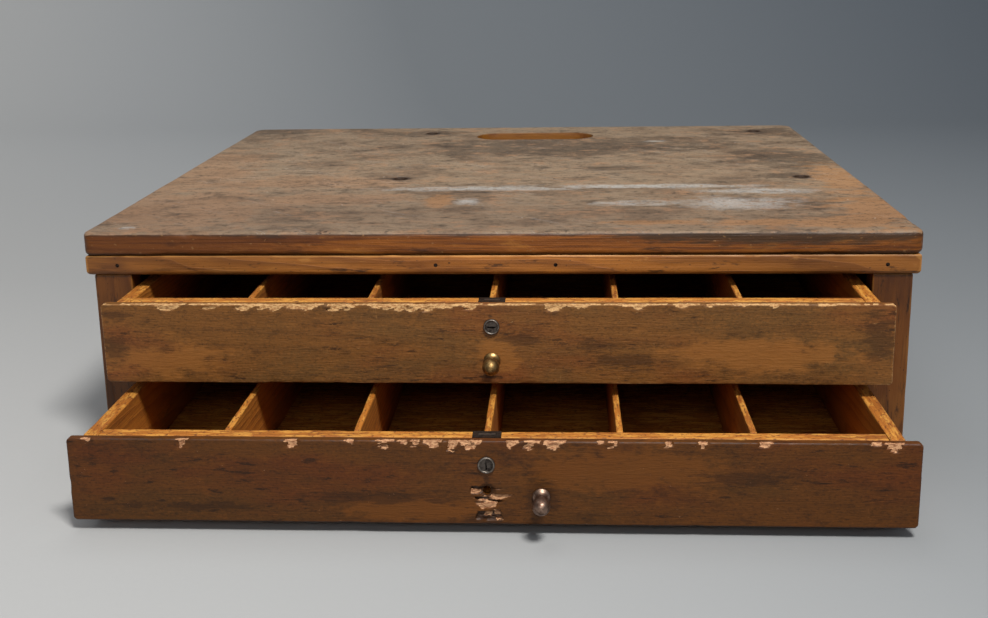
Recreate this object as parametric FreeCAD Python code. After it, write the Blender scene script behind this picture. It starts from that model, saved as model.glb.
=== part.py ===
"""Two-drawer coin chest in pine: case, moulded top, two divided till drawers with locks and knobs.

Millimetres. X to the right, Y from the front to the back, Z up. The origin is the centre of the
case's underside. Both drawers stand partly open: the upper a little, the lower further.
"""
import FreeCAD, Part
import math
import os

os.makedirs("parts", exist_ok=True)

V = FreeCAD.Vector

# --- Top board ---------------------------------------------------------------------------------
top_width = 650.0
top_depth = 560.0
top_thickness = 19.0
top_edge_radius = 4.0
top_front_corner = 8.0          # plan radius of the two front corners
top_back_corner = 14.0          # plan radius of the two back corners
slot_length = 134.0             # hand slot, end to end
slot_width = 52.0
slot_centre_x = 20.0
slot_from_back = 71.0           # centre of the slot to the back edge of the top
bolt_spacing_x = 377.0          # four bolt holes through the top
bolt_spacing_y = 289.5
bolt_centre_x = 86.5
bolt_from_front = 222.5         # front pair of holes to the front edge of the top
bolt_hole_radius = 6.5

# --- Moulding under the top, and the rails it is nailed to -------------------------------------
moulding_height = 16.0
moulding_thickness = 10.0
moulding_setback = 1.5          # from the edge of the top, at the front and the sides
moulding_upper_radius = 1.5
moulding_lower_radius = 4.0
top_rail_width = 22.0

# --- Case --------------------------------------------------------------------------------------
side_overhang = 6.0             # top past the case, each side
front_overhang = 4.5
back_overhang = 4.5
stile_width = 30.5
stile_depth = 20.0
side_thickness = 15.0
back_thickness = 12.0
bottom_thickness = 10.0
runner_width = 29.0
runner_thickness = 10.0
guide_height = 20.0
case_edge_radius = 1.5

# --- Drawers -----------------------------------------------------------------------------------
front_height = 62.5             # applied front board
front_thickness = 7.0
front_lip = 8.0                 # front board over the stile, each side
front_drop = 2.0                # front board below the drawer box
front_corner_radius = 3.0
front_edge_radius = 1.2
box_thickness = 11.0            # inner front, sides and back
box_bottom_thickness = 6.0
divider_thickness = 5.0
divider_count = 5
board_top_radius = 1.2          # worn top edges of sides and dividers
side_clearance = 2.0            # box to stile, each side, with the drawer in the middle
drawer_shift = -1.2             # both drawers lie over towards the left stile
running_clearance = 0.5         # under the box
closed_gap = 0.5                # front board to stile when shut
rear_clearance = 9.0            # box to back board when shut
gap_over_lower = 2.5            # lower drawer to the runners over it
gap_over_upper = 10.5           # upper drawer to the moulding over it
upper_pull = 38.8               # how far each drawer stands open
lower_pull = 121.7

# --- Locks, knobs and fixings ------------------------------------------------------------------
lock_drop = 17.5                # lock axis below the drawer's top edge
cylinder_radius = 6.0
cylinder_proud = 1.8            # cylinder past the face of the front board
cylinder_chamfer = 0.5
plug_radius = 4.4
plug_recess = 0.4               # plug face behind the cylinder face
plug_clearance = 0.08
key_slot_length = 6.4
key_slot_width = 1.1
key_slot_depth = 4.0
lock_width = 20.0
lock_height = 31.0
lock_web = 1.0                  # wood left in front of the lock
lock_wall = 1.0
selvedge_thickness = 1.2
back_plate_width = 34.0
back_plate_drop = 3.0           # back plate's top edge below the drawer's top edge
cam_radius = 6.3
cam_thickness = 1.4
cam_gap = 0.5                   # free space each side of the cam
drive_pin_radius = 1.0
drive_pin_throw = 5.0           # from the lock axis
drive_pin_clearance = 0.35
bolt_thickness = 3.0
bolt_head_width = 12.0
bolt_plate_width = 16.0
bolt_head_height = 10.0
bolt_clearance = 0.3
lock_screw_inset = 4.0          # screw centre to the side edge of the back plate
lock_screw_length = 7.0
front_screw_length = 14.0
front_screw_inset = 11.0        # from the side board's inner face
front_screw_rise = 14.0         # lower screw above the drawer's floor
front_screw_spacing = 15.0
screw_radius = 1.3
screw_head_radius = 2.4
screw_head_depth = 1.2
nail_radius = 1.0
nail_head_radius = 1.6
nail_head_thickness = 0.8
nail_sink = 0.4                 # nail head below the wood
moulding_nail_length = 24.0
moulding_nail_spacing = 93.0    # the middle pair of nails in the front moulding
moulding_nail_inset = 25.0      # outer nails to the end of the moulding
back_nail_length = 30.0
upper_knob_rise = 18.5          # knob centre above the front board's lower edge
lower_knob_rise = 21.5
lower_knob_offset = 38.0        # the lower knob was moved to the right
old_knob_rise = 24.5            # the hole that it left
old_knob_radius = 3.0
knob_radius = 6.3
knob_reach = 15.5               # centre of the ball to the front board
knob_flange_radius = 6.4
knob_flange_thickness = 1.8
knob_neck_radius = 3.3
knob_button_radius = 2.0
knob_button_height = 0.7
knob_shank_radius = 2.2
knob_shank_length = 15.0

# --- Places worked out from the sizes ----------------------------------------------------------
top_front = -top_depth / 2
top_back = top_depth / 2
case_front = top_front + front_overhang
case_back = top_back - back_overhang
case_half = top_width / 2 - side_overhang
opening_half = case_half - stile_width
inner_half = case_half - side_thickness
back_board_front = case_back - back_thickness
stile_back = case_front + stile_depth

box_height = front_height - front_drop
lower_box_bottom = bottom_thickness + running_clearance
lower_top = lower_box_bottom + box_height
runner_bottom = lower_top + gap_over_lower
runner_top = runner_bottom + runner_thickness
upper_box_bottom = runner_top + running_clearance
upper_top = upper_box_bottom + box_height
case_top = upper_top + gap_over_upper
top_underside = case_top + moulding_height
top_surface = top_underside + top_thickness

moulding_front_face = top_front + moulding_setback
moulding_half = top_width / 2 - moulding_setback
rail_half = moulding_half - moulding_thickness
rail_front_face = moulding_front_face + moulding_thickness

box_half = opening_half - side_clearance
front_half = opening_half + front_lip
box_length = back_board_front - case_front + closed_gap - rear_clearance
upper_face = case_front - closed_gap - upper_pull - front_thickness
lower_face = case_front - closed_gap - lower_pull - front_thickness


# --- Shape helpers -----------------------------------------------------------------------------
def block(x_range, y_range, z_range):
    """Box between two limits on each axis, given in either order."""
    low = V(min(x_range), min(y_range), min(z_range))
    high = V(max(x_range), max(y_range), max(z_range))
    size = high - low
    return Part.makeBox(size.x, size.y, size.z, low)


def rod(radius, y_start, y_end, x, z):
    """Round bar along Y."""
    return Part.makeCylinder(radius, y_end - y_start, V(x, y_start, z), V(0, 1, 0))


def edges_where(shape, test):
    """Edges whose middle point and bounding box pass a test."""
    return [edge for edge in shape.Edges if test(edge.BoundBox)]


def rounded(shape, radius, test):
    """Shape with a fillet on the edges that pass a test."""
    return shape.makeFillet(radius, edges_where(shape, test))


def near(a, b):
    return abs(a - b) < 1e-3


def screw(length, direction, x, y, z):
    """Countersunk screw along Y whose head is flush at y; direction is +1 or -1."""
    axis = V(0, direction, 0)
    head = Part.makeCone(screw_head_radius, screw_radius, screw_head_depth, V(x, y, z), axis)
    shank = Part.makeCylinder(screw_radius, length, V(x, y, z), axis)
    return head.fuse(shank).removeSplitter()


def nail(length, position, axis):
    """Nail driven along an axis, its head sunk below the wood at a position."""
    start = position + axis * nail_sink
    head = Part.makeCylinder(nail_head_radius, nail_head_thickness, start, axis)
    shank = Part.makeCylinder(nail_radius, length, start, axis)
    return head.fuse(shank).removeSplitter()


def nail_hole(length, position, axis):
    """The hole that a nail lies in, open at the surface."""
    mouth = Part.makeCylinder(nail_head_radius, nail_sink + nail_head_thickness, position, axis)
    return mouth.fuse(nail(length, position, axis)).removeSplitter()


def group(solids):
    """Several separate solids in one node."""
    return Part.makeCompound(solids)


# --- Top board, moulding and rails -------------------------------------------------------------
def top_outline():
    """Plan of the top: a rectangle with its corners rounded, as one closed wire."""
    half = top_width / 2
    plan = block((-half, half), (top_front, top_back), (top_underside, top_surface))
    plan = rounded(plan, top_front_corner, lambda b: b.ZLength > 1 and near(b.YMin, top_front))
    return rounded(plan, top_back_corner, lambda b: near(b.ZLength, top_thickness) and near(b.YMax, top_back))


def hand_slot():
    """Cutter for the slot with half-round ends."""
    radius = slot_width / 2
    reach = slot_length / 2 - radius
    centre_y = top_back - slot_from_back
    z_range = (top_underside - 1, top_surface + 1)
    straight = (slot_centre_x - reach, slot_centre_x + reach)
    cutter = block(straight, (centre_y - radius, centre_y + radius), z_range)
    for end_x in straight:
        end = Part.makeCylinder(radius, top_thickness + 2, V(end_x, centre_y, z_range[0]))
        cutter = cutter.fuse(end)
    return cutter.removeSplitter()


def bolt_hole_centres():
    """Centres of the four holes: a rectangle set to the right of the middle."""
    front_y = top_front + bolt_from_front
    return [
        (bolt_centre_x + side * bolt_spacing_x / 2, y)
        for side in (-1, 1)
        for y in (front_y, front_y + bolt_spacing_y)
    ]


def top_board():
    board = top_outline()
    rim = edges_where(board, lambda b: b.ZLength < 1e-3)
    board = board.makeFillet(top_edge_radius, rim)
    board = board.cut(hand_slot())
    for x, y in bolt_hole_centres():
        board = board.cut(Part.makeCylinder(bolt_hole_radius, top_thickness + 2, V(x, y, top_underside - 1)))
    return board


def moulding_section(outer, inward):
    """Closed section in the plane of one horizontal direction and Z: outer face at outer."""
    upper = moulding_upper_radius
    lower = moulding_lower_radius
    diagonal = math.sqrt(0.5)
    inner = outer + inward * moulding_thickness
    low, high = case_top, top_underside

    def point(across, z):
        return V(0, across, z)

    arc_top = Part.Arc(
        point(outer + inward * upper, high),
        point(outer + inward * upper * (1 - diagonal), high - upper * (1 - diagonal)),
        point(outer, high - upper),
    )
    arc_low = Part.Arc(
        point(outer, low + lower),
        point(outer + inward * lower * (1 - diagonal), low + lower * (1 - diagonal)),
        point(outer + inward * lower, low),
    )
    edges = [
        Part.makeLine(point(inner, low), point(inner, high)),
        Part.makeLine(point(inner, high), point(outer + inward * upper, high)),
        arc_top.toShape(),
        Part.makeLine(point(outer, high - upper), point(outer, low + lower)),
        arc_low.toShape(),
        Part.makeLine(point(outer + inward * lower, low), point(inner, low)),
    ]
    return Part.Face(Part.Wire(edges))


def mitre_cutter(side):
    """Wedge on the far side of the 45 degree mitre plane at a front corner."""
    reach = moulding_thickness * 3
    x = side * moulding_half
    y = moulding_front_face
    z = case_top - 1
    points = [V(x, y, z), V(x - side * reach, y + reach, z), V(x + side * reach, y + reach, z)]
    points += [V(x + side * reach, y - reach, z), V(x, y, z)]
    return Part.Face(Part.makePolygon(points)).extrude(V(0, 0, moulding_height + 2))


def front_moulding():
    section = moulding_section(moulding_front_face, 1)
    section.translate(V(-moulding_half, 0, 0))
    strip = section.extrude(V(2 * moulding_half, 0, 0))
    for side in (-1, 1):
        strip = strip.cut(mitre_cutter(side))
    return strip.cut(group(moulding_holes("front")))


def side_moulding(side):
    section = moulding_section(-moulding_half, 1)
    section.rotate(V(0, 0, 0), V(0, 0, 1), -90)
    section.translate(V(0, moulding_front_face, 0))
    strip = section.extrude(V(0, case_back - moulding_front_face, 0))
    if side > 0:
        strip = strip.mirror(V(0, 0, 0), V(1, 0, 0))
    strip = strip.common(mitre_keep(side))
    return strip.cut(group(moulding_holes("left" if side < 0 else "right")))


def mitre_keep(side):
    """Space behind the mitre plane at one side of the case."""
    x = side * moulding_half
    y = moulding_front_face
    z = case_top - 1
    inner = x - side * moulding_thickness
    points = [V(x, y, z), V(inner, y + moulding_thickness, z), V(inner, case_back, z), V(x, case_back, z)]
    return Part.Face(Part.makePolygon(points + points[:1])).extrude(V(0, 0, moulding_height + 2))


def moulding_nail_places():
    """Position and direction of each nail, by the strip that it holds."""
    z = case_top + moulding_height / 2
    outer = moulding_half - moulding_nail_inset
    middle = moulding_nail_spacing / 2
    rear = case_back - moulding_nail_inset
    front = moulding_front_face + moulding_nail_inset
    places = {"front": [(V(x, moulding_front_face, z), V(0, 1, 0)) for x in (-outer, -middle, middle, outer)]}
    for name, side in (("left", -1), ("right", 1)):
        rows = (front, (front + rear) / 2, rear)
        places[name] = [(V(side * moulding_half, y, z), V(-side, 0, 0)) for y in rows]
    return places


def moulding_holes(strip):
    return [nail_hole(moulding_nail_length, at, axis) for at, axis in moulding_nail_places()[strip]]


def moulding_nails():
    return [
        nail(moulding_nail_length, at, axis)
        for strip in moulding_nail_places().values()
        for at, axis in strip
    ]


def top_rails():
    """Rails on top of the case: front and back run through, the side rails butt between them."""
    z_range = (case_top, top_underside)
    front_back = rail_front_face + top_rail_width
    rear_front = case_back - top_rail_width
    inner = rail_half - top_rail_width
    rails = {
        "top_rail_front": block((-rail_half, rail_half), (rail_front_face, front_back), z_range),
        "top_rail_back": block((-rail_half, rail_half), (rear_front, case_back), z_range),
        "top_rail_left": block((-rail_half, -inner), (front_back, rear_front), z_range),
        "top_rail_right": block((inner, rail_half), (front_back, rear_front), z_range),
    }
    holes = group(moulding_nails())
    return {name: rail.cut(holes) for name, rail in rails.items()}


# --- Case --------------------------------------------------------------------------------------
def stile(side):
    """Front post of the case, with its outer front corner eased."""
    x_range = (side * opening_half, side * case_half)
    post = block(x_range, (case_front, stile_back), (bottom_thickness, case_top))
    return rounded(
        post,
        case_edge_radius,
        lambda b: b.ZLength > 1 and near(b.YMax, case_front) and near(b.XMax, side * case_half),
    )


def case_side(side):
    x_range = (side * inner_half, side * case_half)
    board = block(x_range, (stile_back, back_board_front), (bottom_thickness, case_top))
    return board.cut(group(back_nails()))


def back_nail_places():
    """Nails through the back board into the ends of the sides, three each side."""
    x = (inner_half + case_half) / 2
    low = bottom_thickness + moulding_nail_inset
    high = case_top - moulding_nail_inset
    rows = (low, (low + high) / 2, high)
    return [V(side * x, case_back, z) for side in (-1, 1) for z in rows]


def back_nails():
    return [nail(back_nail_length, at, V(0, -1, 0)) for at in back_nail_places()]


def back_board():
    board = block((-case_half, case_half), (back_board_front, case_back), (0, case_top))
    holes = [nail_hole(back_nail_length, at, V(0, -1, 0)) for at in back_nail_places()]
    return board.cut(group(holes))


def bottom_board():
    return block((-case_half, case_half), (case_front, back_board_front), (0, bottom_thickness))


def runner(side):
    x_range = (side * inner_half, side * (inner_half - runner_width))
    return block(x_range, (stile_back, back_board_front), (runner_bottom, runner_top))


def guide(side, floor):
    """Strip that keeps a drawer in line with the opening."""
    x_range = (side * inner_half, side * opening_half)
    return block(x_range, (stile_back, back_board_front), (floor, floor + guide_height))


def case_nodes():
    nodes = {
        "top_board": top_board(),
        "moulding_front": front_moulding(),
        "back_board": back_board(),
        "bottom_board": bottom_board(),
        "moulding_nails": group(moulding_nails()),
        "back_nails": group(back_nails()),
    }
    nodes.update(top_rails())
    for name, side in (("left", -1), ("right", 1)):
        nodes["moulding_" + name] = side_moulding(side)
        nodes["stile_" + name] = stile(side)
        nodes["side_" + name] = case_side(side)
        nodes["runner_" + name] = runner(side)
        nodes["guide_upper_" + name] = guide(side, runner_top)
        nodes["guide_lower_" + name] = guide(side, bottom_thickness)
    return nodes


# --- One drawer --------------------------------------------------------------------------------
class Drawer:
    """Places of one drawer: face is the front board's face, top its upper edge."""

    def __init__(self, name, face, top, knob_x, knob_rise):
        self.name = name
        self.face = face
        self.top = top
        self.knob_x = knob_x
        self.knob_z = top - front_height + knob_rise
        self.key_slot_upright = False
        self.old_knob = False
        self.lock_z = top - lock_drop
        self.box_front = face + front_thickness
        self.box_inside = self.box_front + box_thickness
        self.box_back = self.box_front + box_length
        self.bottom = top - box_height
        self.floor = self.bottom + box_bottom_thickness
        self.lock_front = self.box_front + lock_web


def front_board(d):
    board = block((-front_half, front_half), (d.face, d.box_front), (d.top - front_height, d.top))
    board = rounded(board, front_corner_radius, lambda b: b.YLength > 1)
    board = rounded(board, front_edge_radius, lambda b: b.YLength < 1e-3 and near(b.YMin, d.face))
    board = board.cut(rod(cylinder_radius, d.face - 1, d.box_front + 1, 0, d.lock_z))
    board = board.cut(group(front_screws(d)))
    return board.cut(knob_shank(d))


def front_screw_places(d):
    """Two screws near each end, one above the other, through the inner front."""
    x = box_half - box_thickness - front_screw_inset
    low = d.floor + front_screw_rise
    return [V(side * x, d.box_inside, z) for side in (-1, 1) for z in (low, low + front_screw_spacing)]


def front_screws(d):
    return [screw(front_screw_length, -1, at.x, at.y, at.z) for at in front_screw_places(d)]


def box_front(d):
    half = box_half - box_thickness
    board = block((-half, half), (d.box_front, d.box_inside), (d.floor, d.top))
    board = board.cut(lock_envelope(d))
    board = board.cut(rod(cylinder_radius, d.face, d.lock_front, 0, d.lock_z))
    board = board.cut(group(front_screws(d) + lock_screws(d)))
    return board.cut(knob_shank(d))


def box_side(d, side):
    x_range = (side * box_half, side * (box_half - box_thickness))
    board = block(x_range, (d.box_front, d.box_back), (d.floor, d.top))
    return rounded(board, board_top_radius, lambda b: b.YLength > box_length / 2 and near(b.ZMin, d.top))


def box_back(d):
    half = box_half - box_thickness
    board = block((-half, half), (d.box_back - box_thickness, d.box_back), (d.floor, d.top))
    return rounded(board, board_top_radius, lambda b: b.XLength > half and near(b.ZMin, d.top))


def box_bottom(d):
    return block((-box_half, box_half), (d.box_front, d.box_back), (d.bottom, d.floor))


def divider_centres():
    """Centres of the dividers, which part the drawer into equal compartments."""
    inside = 2 * (box_half - box_thickness)
    gap = (inside - divider_count * divider_thickness) / (divider_count + 1)
    first = -inside / 2 + gap + divider_thickness / 2
    return [first + index * (gap + divider_thickness) for index in range(divider_count)]


def divider(d, centre):
    half = divider_thickness / 2
    y_range = (d.box_inside, d.box_back - box_thickness)
    board = block((centre - half, centre + half), y_range, (d.floor, d.top))
    return rounded(board, board_top_radius, lambda b: b.YLength > box_length / 2 and near(b.ZMin, d.top))


# --- Lock --------------------------------------------------------------------------------------
def lock_places(d):
    """Distances along Y inside the lock, from the front plate to the bolt."""
    cavity_front = d.lock_front + lock_wall
    cam_front = cavity_front + cam_gap
    cam_back = cam_front + cam_thickness
    bolt_front = cam_back + cam_gap
    return cavity_front, cam_front, cam_back, bolt_front, bolt_front + bolt_thickness


def lock_envelope(d):
    """Outside of the lock: body, selvedge plate in the top edge and wide back plate."""
    half = lock_width / 2
    body = block((-half, half), (d.lock_front, d.box_inside), (d.top - lock_height, d.top))
    selvedge = block((-half, half), (d.box_front, d.box_inside), (d.top - selvedge_thickness, d.top))
    plate_half = back_plate_width / 2
    plate = block(
        (-plate_half, plate_half),
        (d.box_inside - lock_wall, d.box_inside),
        (d.top - lock_height, d.top - back_plate_drop),
    )
    return body.fuse(selvedge).fuse(plate).removeSplitter()


def lock_case(d):
    """Sheet-steel lock body, hollow, with a slot in its selvedge for the bolt."""
    cavity_front, _, _, bolt_front, bolt_back = lock_places(d)
    half = lock_width / 2 - lock_wall
    cavity = block(
        (-half, half),
        (cavity_front, d.box_inside - lock_wall),
        (d.top - lock_height + lock_wall, d.top - selvedge_thickness),
    )
    slot_half = bolt_head_width / 2 + bolt_clearance
    slot = block(
        (-slot_half, slot_half),
        (bolt_front - bolt_clearance, bolt_back + bolt_clearance),
        (d.top - selvedge_thickness - 1, d.top + 1),
    )
    plug_hole = rod(plug_radius + plug_clearance, d.lock_front - 1, cavity_front + 1, 0, d.lock_z)
    return lock_envelope(d).cut(cavity).cut(slot).cut(plug_hole).cut(group(lock_screws(d)))


def lock_screws(d):
    x = back_plate_width / 2 - lock_screw_inset
    return [screw(lock_screw_length, -1, side * x, d.box_inside, d.lock_z) for side in (-1, 1)]


def lock_cylinder(d):
    """Round housing that stands through the front board, bored for the plug."""
    face = d.face - cylinder_proud
    housing = rod(cylinder_radius, face, d.lock_front, 0, d.lock_z)
    housing = housing.makeChamfer(cylinder_chamfer, edges_where(housing, lambda b: near(b.YMax, face)))
    return housing.cut(rod(plug_radius + plug_clearance, face - 1, d.lock_front + 1, 0, d.lock_z))


def lock_plug(d):
    """Turning plug with its key slot, a cam at its back end and the pin that lifts the bolt."""
    _, cam_front, cam_back, _, bolt_back = lock_places(d)
    face = d.face - cylinder_proud + plug_recess
    half_long = key_slot_length / 2
    half_wide = key_slot_width / 2
    across, along = (half_wide, half_long) if d.key_slot_upright else (half_long, half_wide)
    key_slot = block(
        (-across, across),
        (face - 1, face + key_slot_depth),
        (d.lock_z - along, d.lock_z + along),
    )
    plug = rod(plug_radius, face, cam_front, 0, d.lock_z)
    cam = rod(cam_radius, cam_front, cam_back, 0, d.lock_z)
    offset = drive_pin_throw * math.sqrt(0.5)
    pin = rod(drive_pin_radius, cam_back, bolt_back, offset, d.lock_z - offset)
    return plug.fuse(cam).fuse(pin).removeSplitter().cut(key_slot)


def lock_bolt(d):
    """Bolt: a head that rises through the selvedge, and a plate with the drive pin's slot."""
    _, _, _, bolt_front, bolt_back = lock_places(d)
    y_range = (bolt_front, bolt_back)
    head_half = bolt_head_width / 2
    plate_half = bolt_plate_width / 2
    offset = drive_pin_throw * math.sqrt(0.5)
    reach = drive_pin_radius + drive_pin_clearance
    plate_low = d.lock_z - offset - 3 * reach
    head = block((-head_half, head_half), y_range, (plate_low, d.top))
    plate = block((-plate_half, plate_half), y_range, (plate_low, d.top - bolt_head_height))
    slot = block(
        (offset - reach, drive_pin_throw + reach),
        (bolt_front - 1, bolt_back + 1),
        (d.lock_z - offset - reach, d.lock_z - offset + reach),
    )
    return head.fuse(plate).removeSplitter().cut(slot)


# --- Knob --------------------------------------------------------------------------------------
def knob_shank(d):
    """Screw shank behind the knob's flange, and the hole that it fills."""
    return rod(knob_shank_radius, d.face, d.face + knob_shank_length, d.knob_x, d.knob_z)


def knob(d):
    """Turned knob: round flange, waisted neck and a ball with a small button on its end."""
    x, z = d.knob_x, d.knob_z
    ball_y = d.face - knob_reach
    waist_y = (d.face + ball_y) / 2
    flange = rod(knob_flange_radius, d.face - knob_flange_thickness, d.face, x, z)
    rim = d.face - knob_flange_thickness
    flange = rounded(flange, knob_flange_thickness / 3, lambda b: near(b.YMax, rim))
    outward = V(0, -1, 0)
    root_radius = knob_flange_radius - knob_flange_thickness
    top_radius = knob_radius * math.sqrt(0.5)
    flare = Part.makeCone(root_radius, knob_neck_radius, d.face - waist_y, V(x, d.face, z), outward)
    neck = Part.makeCone(knob_neck_radius, top_radius, waist_y - ball_y, V(x, waist_y, z), outward)
    ball = Part.makeSphere(knob_radius, V(x, ball_y, z))
    button_tip = ball_y - knob_radius - knob_button_height
    button = rod(knob_button_radius, button_tip, ball_y, x, z)
    turned = flange.fuse([flare, neck, ball, button, knob_shank(d)])
    return turned.removeSplitter()


def old_knob_hole(d):
    z = d.top - front_height + old_knob_rise
    return rod(old_knob_radius, d.face - 1, d.box_inside + 1, 0, z)


def drawer_nodes(d):
    nodes = {
        "front_board": front_board(d),
        "box_front": box_front(d),
        "box_side_left": box_side(d, -1),
        "box_side_right": box_side(d, 1),
        "box_back": box_back(d),
        "box_bottom": box_bottom(d),
        "knob": knob(d),
        "lock_case": lock_case(d),
        "lock_cylinder": lock_cylinder(d),
        "lock_plug": lock_plug(d),
        "lock_bolt": lock_bolt(d),
        "lock_screws": group(lock_screws(d)),
        "front_screws": group(front_screws(d)),
    }
    for index, centre in enumerate(divider_centres()):
        nodes["divider_%d" % (index + 1)] = divider(d, centre)
    if d.old_knob:
        for name in ("front_board", "box_front"):
            nodes[name] = nodes[name].cut(old_knob_hole(d))
    for shape in nodes.values():
        shape.translate(V(drawer_shift, 0, 0))
    return {d.name + "_" + name: shape for name, shape in nodes.items()}


# --- All nodes ---------------------------------------------------------------------------------
def all_nodes():
    upper = Drawer("upper", upper_face, upper_top, 0.0, upper_knob_rise)
    lower = Drawer("lower", lower_face, lower_top, lower_knob_offset, lower_knob_rise)
    lower.key_slot_upright = True
    lower.old_knob = True
    nodes = case_nodes()
    nodes.update(drawer_nodes(upper))
    nodes.update(drawer_nodes(lower))
    return nodes


for node_name, node_shape in sorted(all_nodes().items()):
    node_shape.exportStep("parts/" + node_name + ".step")
    print(node_name, len(node_shape.Solids), round(node_shape.Volume, 1), node_shape.isValid())
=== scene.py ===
# %% [markdown]
# A low pine chest with two divided coin drawers. Long use on shop counters has given it a grey, scratched
# top with a hand slot and four bolt holes, varnished edges, dark stained drawer fronts with chipped edges,
# and bare honey-coloured boxes inside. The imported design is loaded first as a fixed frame. Every piece made
# here takes its place from it.

import math

import bpy
import numpy as np
from mathutils import Matrix, Vector


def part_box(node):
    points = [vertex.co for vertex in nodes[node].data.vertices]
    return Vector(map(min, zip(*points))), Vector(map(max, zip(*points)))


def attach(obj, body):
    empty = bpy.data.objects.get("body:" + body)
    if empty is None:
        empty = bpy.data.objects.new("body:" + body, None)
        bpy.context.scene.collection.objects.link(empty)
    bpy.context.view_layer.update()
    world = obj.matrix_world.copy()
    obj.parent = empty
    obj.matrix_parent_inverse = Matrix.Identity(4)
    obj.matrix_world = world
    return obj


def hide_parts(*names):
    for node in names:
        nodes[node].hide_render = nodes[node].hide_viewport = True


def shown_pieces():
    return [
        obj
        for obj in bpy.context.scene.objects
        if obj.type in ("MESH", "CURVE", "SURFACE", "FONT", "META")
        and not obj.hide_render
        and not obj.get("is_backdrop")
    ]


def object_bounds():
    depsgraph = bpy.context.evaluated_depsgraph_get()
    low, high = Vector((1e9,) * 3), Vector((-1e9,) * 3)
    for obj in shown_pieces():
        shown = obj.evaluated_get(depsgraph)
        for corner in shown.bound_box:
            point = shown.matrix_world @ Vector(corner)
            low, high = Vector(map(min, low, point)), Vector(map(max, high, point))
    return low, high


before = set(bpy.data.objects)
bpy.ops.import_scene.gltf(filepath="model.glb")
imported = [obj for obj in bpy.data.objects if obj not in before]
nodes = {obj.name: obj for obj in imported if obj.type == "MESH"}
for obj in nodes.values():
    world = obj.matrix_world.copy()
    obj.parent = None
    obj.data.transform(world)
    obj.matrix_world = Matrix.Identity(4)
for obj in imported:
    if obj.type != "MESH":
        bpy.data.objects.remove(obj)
cad_low, cad_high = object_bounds()
print("frame:", len(nodes), "nodes, size", [round(side, 4) for side in cad_high - cad_low])

# %% [markdown]
# The camera stands in front of the chest, a little above it, and looks slightly down. A real camera's view
# is four numbers for direction and lens, and three for its place. The lens looks above the middle of the
# picture, as a view that was cropped afterwards does, and a small vertical shift gives the same framing.

# %% Camera
CAMERA_PLACE = (0.0526, -1.1744, 0.3995)
CAMERA_YAW = math.radians(-3.4)
CAMERA_PITCH = math.radians(13.08)
CAMERA_ROLL = math.radians(0.96)
CAMERA_LENS = 43.7
CAMERA_SHIFT = -0.08


def camera_turn(yaw, pitch, roll):
    """Rotation of a camera that looks along +Y at zero yaw, down by pitch and tilted by roll."""
    ahead = Vector((
        math.sin(yaw) * math.cos(pitch),
        math.cos(yaw) * math.cos(pitch),
        -math.sin(pitch),
    ))
    level = Vector((math.cos(yaw), -math.sin(yaw), 0))
    below = ahead.cross(level)
    right = level * math.cos(roll) + below * math.sin(roll)
    down = below * math.cos(roll) - level * math.sin(roll)
    return Matrix((right, -down, -ahead)).transposed().to_4x4()


lens = bpy.data.cameras.new("camera")
lens.sensor_width = 36
lens.lens = CAMERA_LENS
lens.shift_y = CAMERA_SHIFT
camera = bpy.data.objects.new("camera", lens)
camera.matrix_world = Matrix.Translation(CAMERA_PLACE) @ camera_turn(CAMERA_YAW, CAMERA_PITCH, CAMERA_ROLL)
bpy.context.scene.collection.objects.link(camera)
bpy.context.scene.camera = camera
bpy.context.scene.view_settings.view_transform = "Standard"
print("camera lens", CAMERA_LENS, "mm at", CAMERA_PLACE)

# %% [markdown]
# Plain studio light. The main panel stands high in front, a little to the right, steep enough for the
# boards above to shade the floors of the drawers. A wide panel overhead softens it. Two weak ones in front
# open the shadows, and the lower of them reaches into the drawers. One behind washes only the backdrop, and
# the surround is dim and cool.

# %% Lights
SURROUND_COLOUR = (0.66, 0.74, 0.86, 1)
SURROUND_STRENGTH = 0.21


def panel(name, place, target, size, power, colour):
    """Soft rectangular light at a place, facing a target."""
    light = bpy.data.lights.new(name, "AREA")
    light.shape = "RECTANGLE"
    light.size, light.size_y = size
    light.energy = power
    light.color = colour
    holder = bpy.data.objects.new(name, light)
    aim = (Vector(target) - Vector(place)).to_track_quat("-Z", "Y")
    holder.matrix_world = Matrix.Translation(place) @ aim.to_matrix().to_4x4()
    bpy.context.scene.collection.objects.link(holder)


panel("key", (0.40, -1.25, 1.80), (0, -0.2, 0.1), (0.44, 0.36), 52, (1.0, 0.97, 0.93))
panel("overhead", (-0.3, 0.2, 2.3), (0, 0.1, 0.1), (2.0, 1.2), 15, (1.0, 0.99, 0.97))
panel("front_fill", (-0.1, -2.6, 1.35), (0, -0.3, 0.1), (1.4, 0.6), 9, (1.0, 0.98, 0.95))
panel("low_fill", (0.1, -2.8, 0.45), (0, -0.3, 0.1), (1.2, 0.5), 3, (1.0, 0.98, 0.95))
panel("backdrop_wash", (-0.9, 0.9, 1.9), (-0.9, 3.0, 1.2), (3.0, 0.5), 24, (0.96, 0.98, 1.0))
surround = bpy.data.worlds.new("surround")
surround.use_nodes = True
sky = surround.node_tree.nodes["Background"]
sky.inputs["Color"].default_value = SURROUND_COLOUR
sky.inputs["Strength"].default_value = SURROUND_STRENGTH
bpy.context.scene.world = surround

# %% [markdown]
# Materials are written as short recipes. A recipe holds one node tree, and each of its calls adds one node
# and gives back its output, so a finish reads from top to bottom like a list of coats. Colours are named by
# how they look on a screen and turned into the linear values that the shader needs.

# %% Recipe: a node tree as short lines


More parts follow.
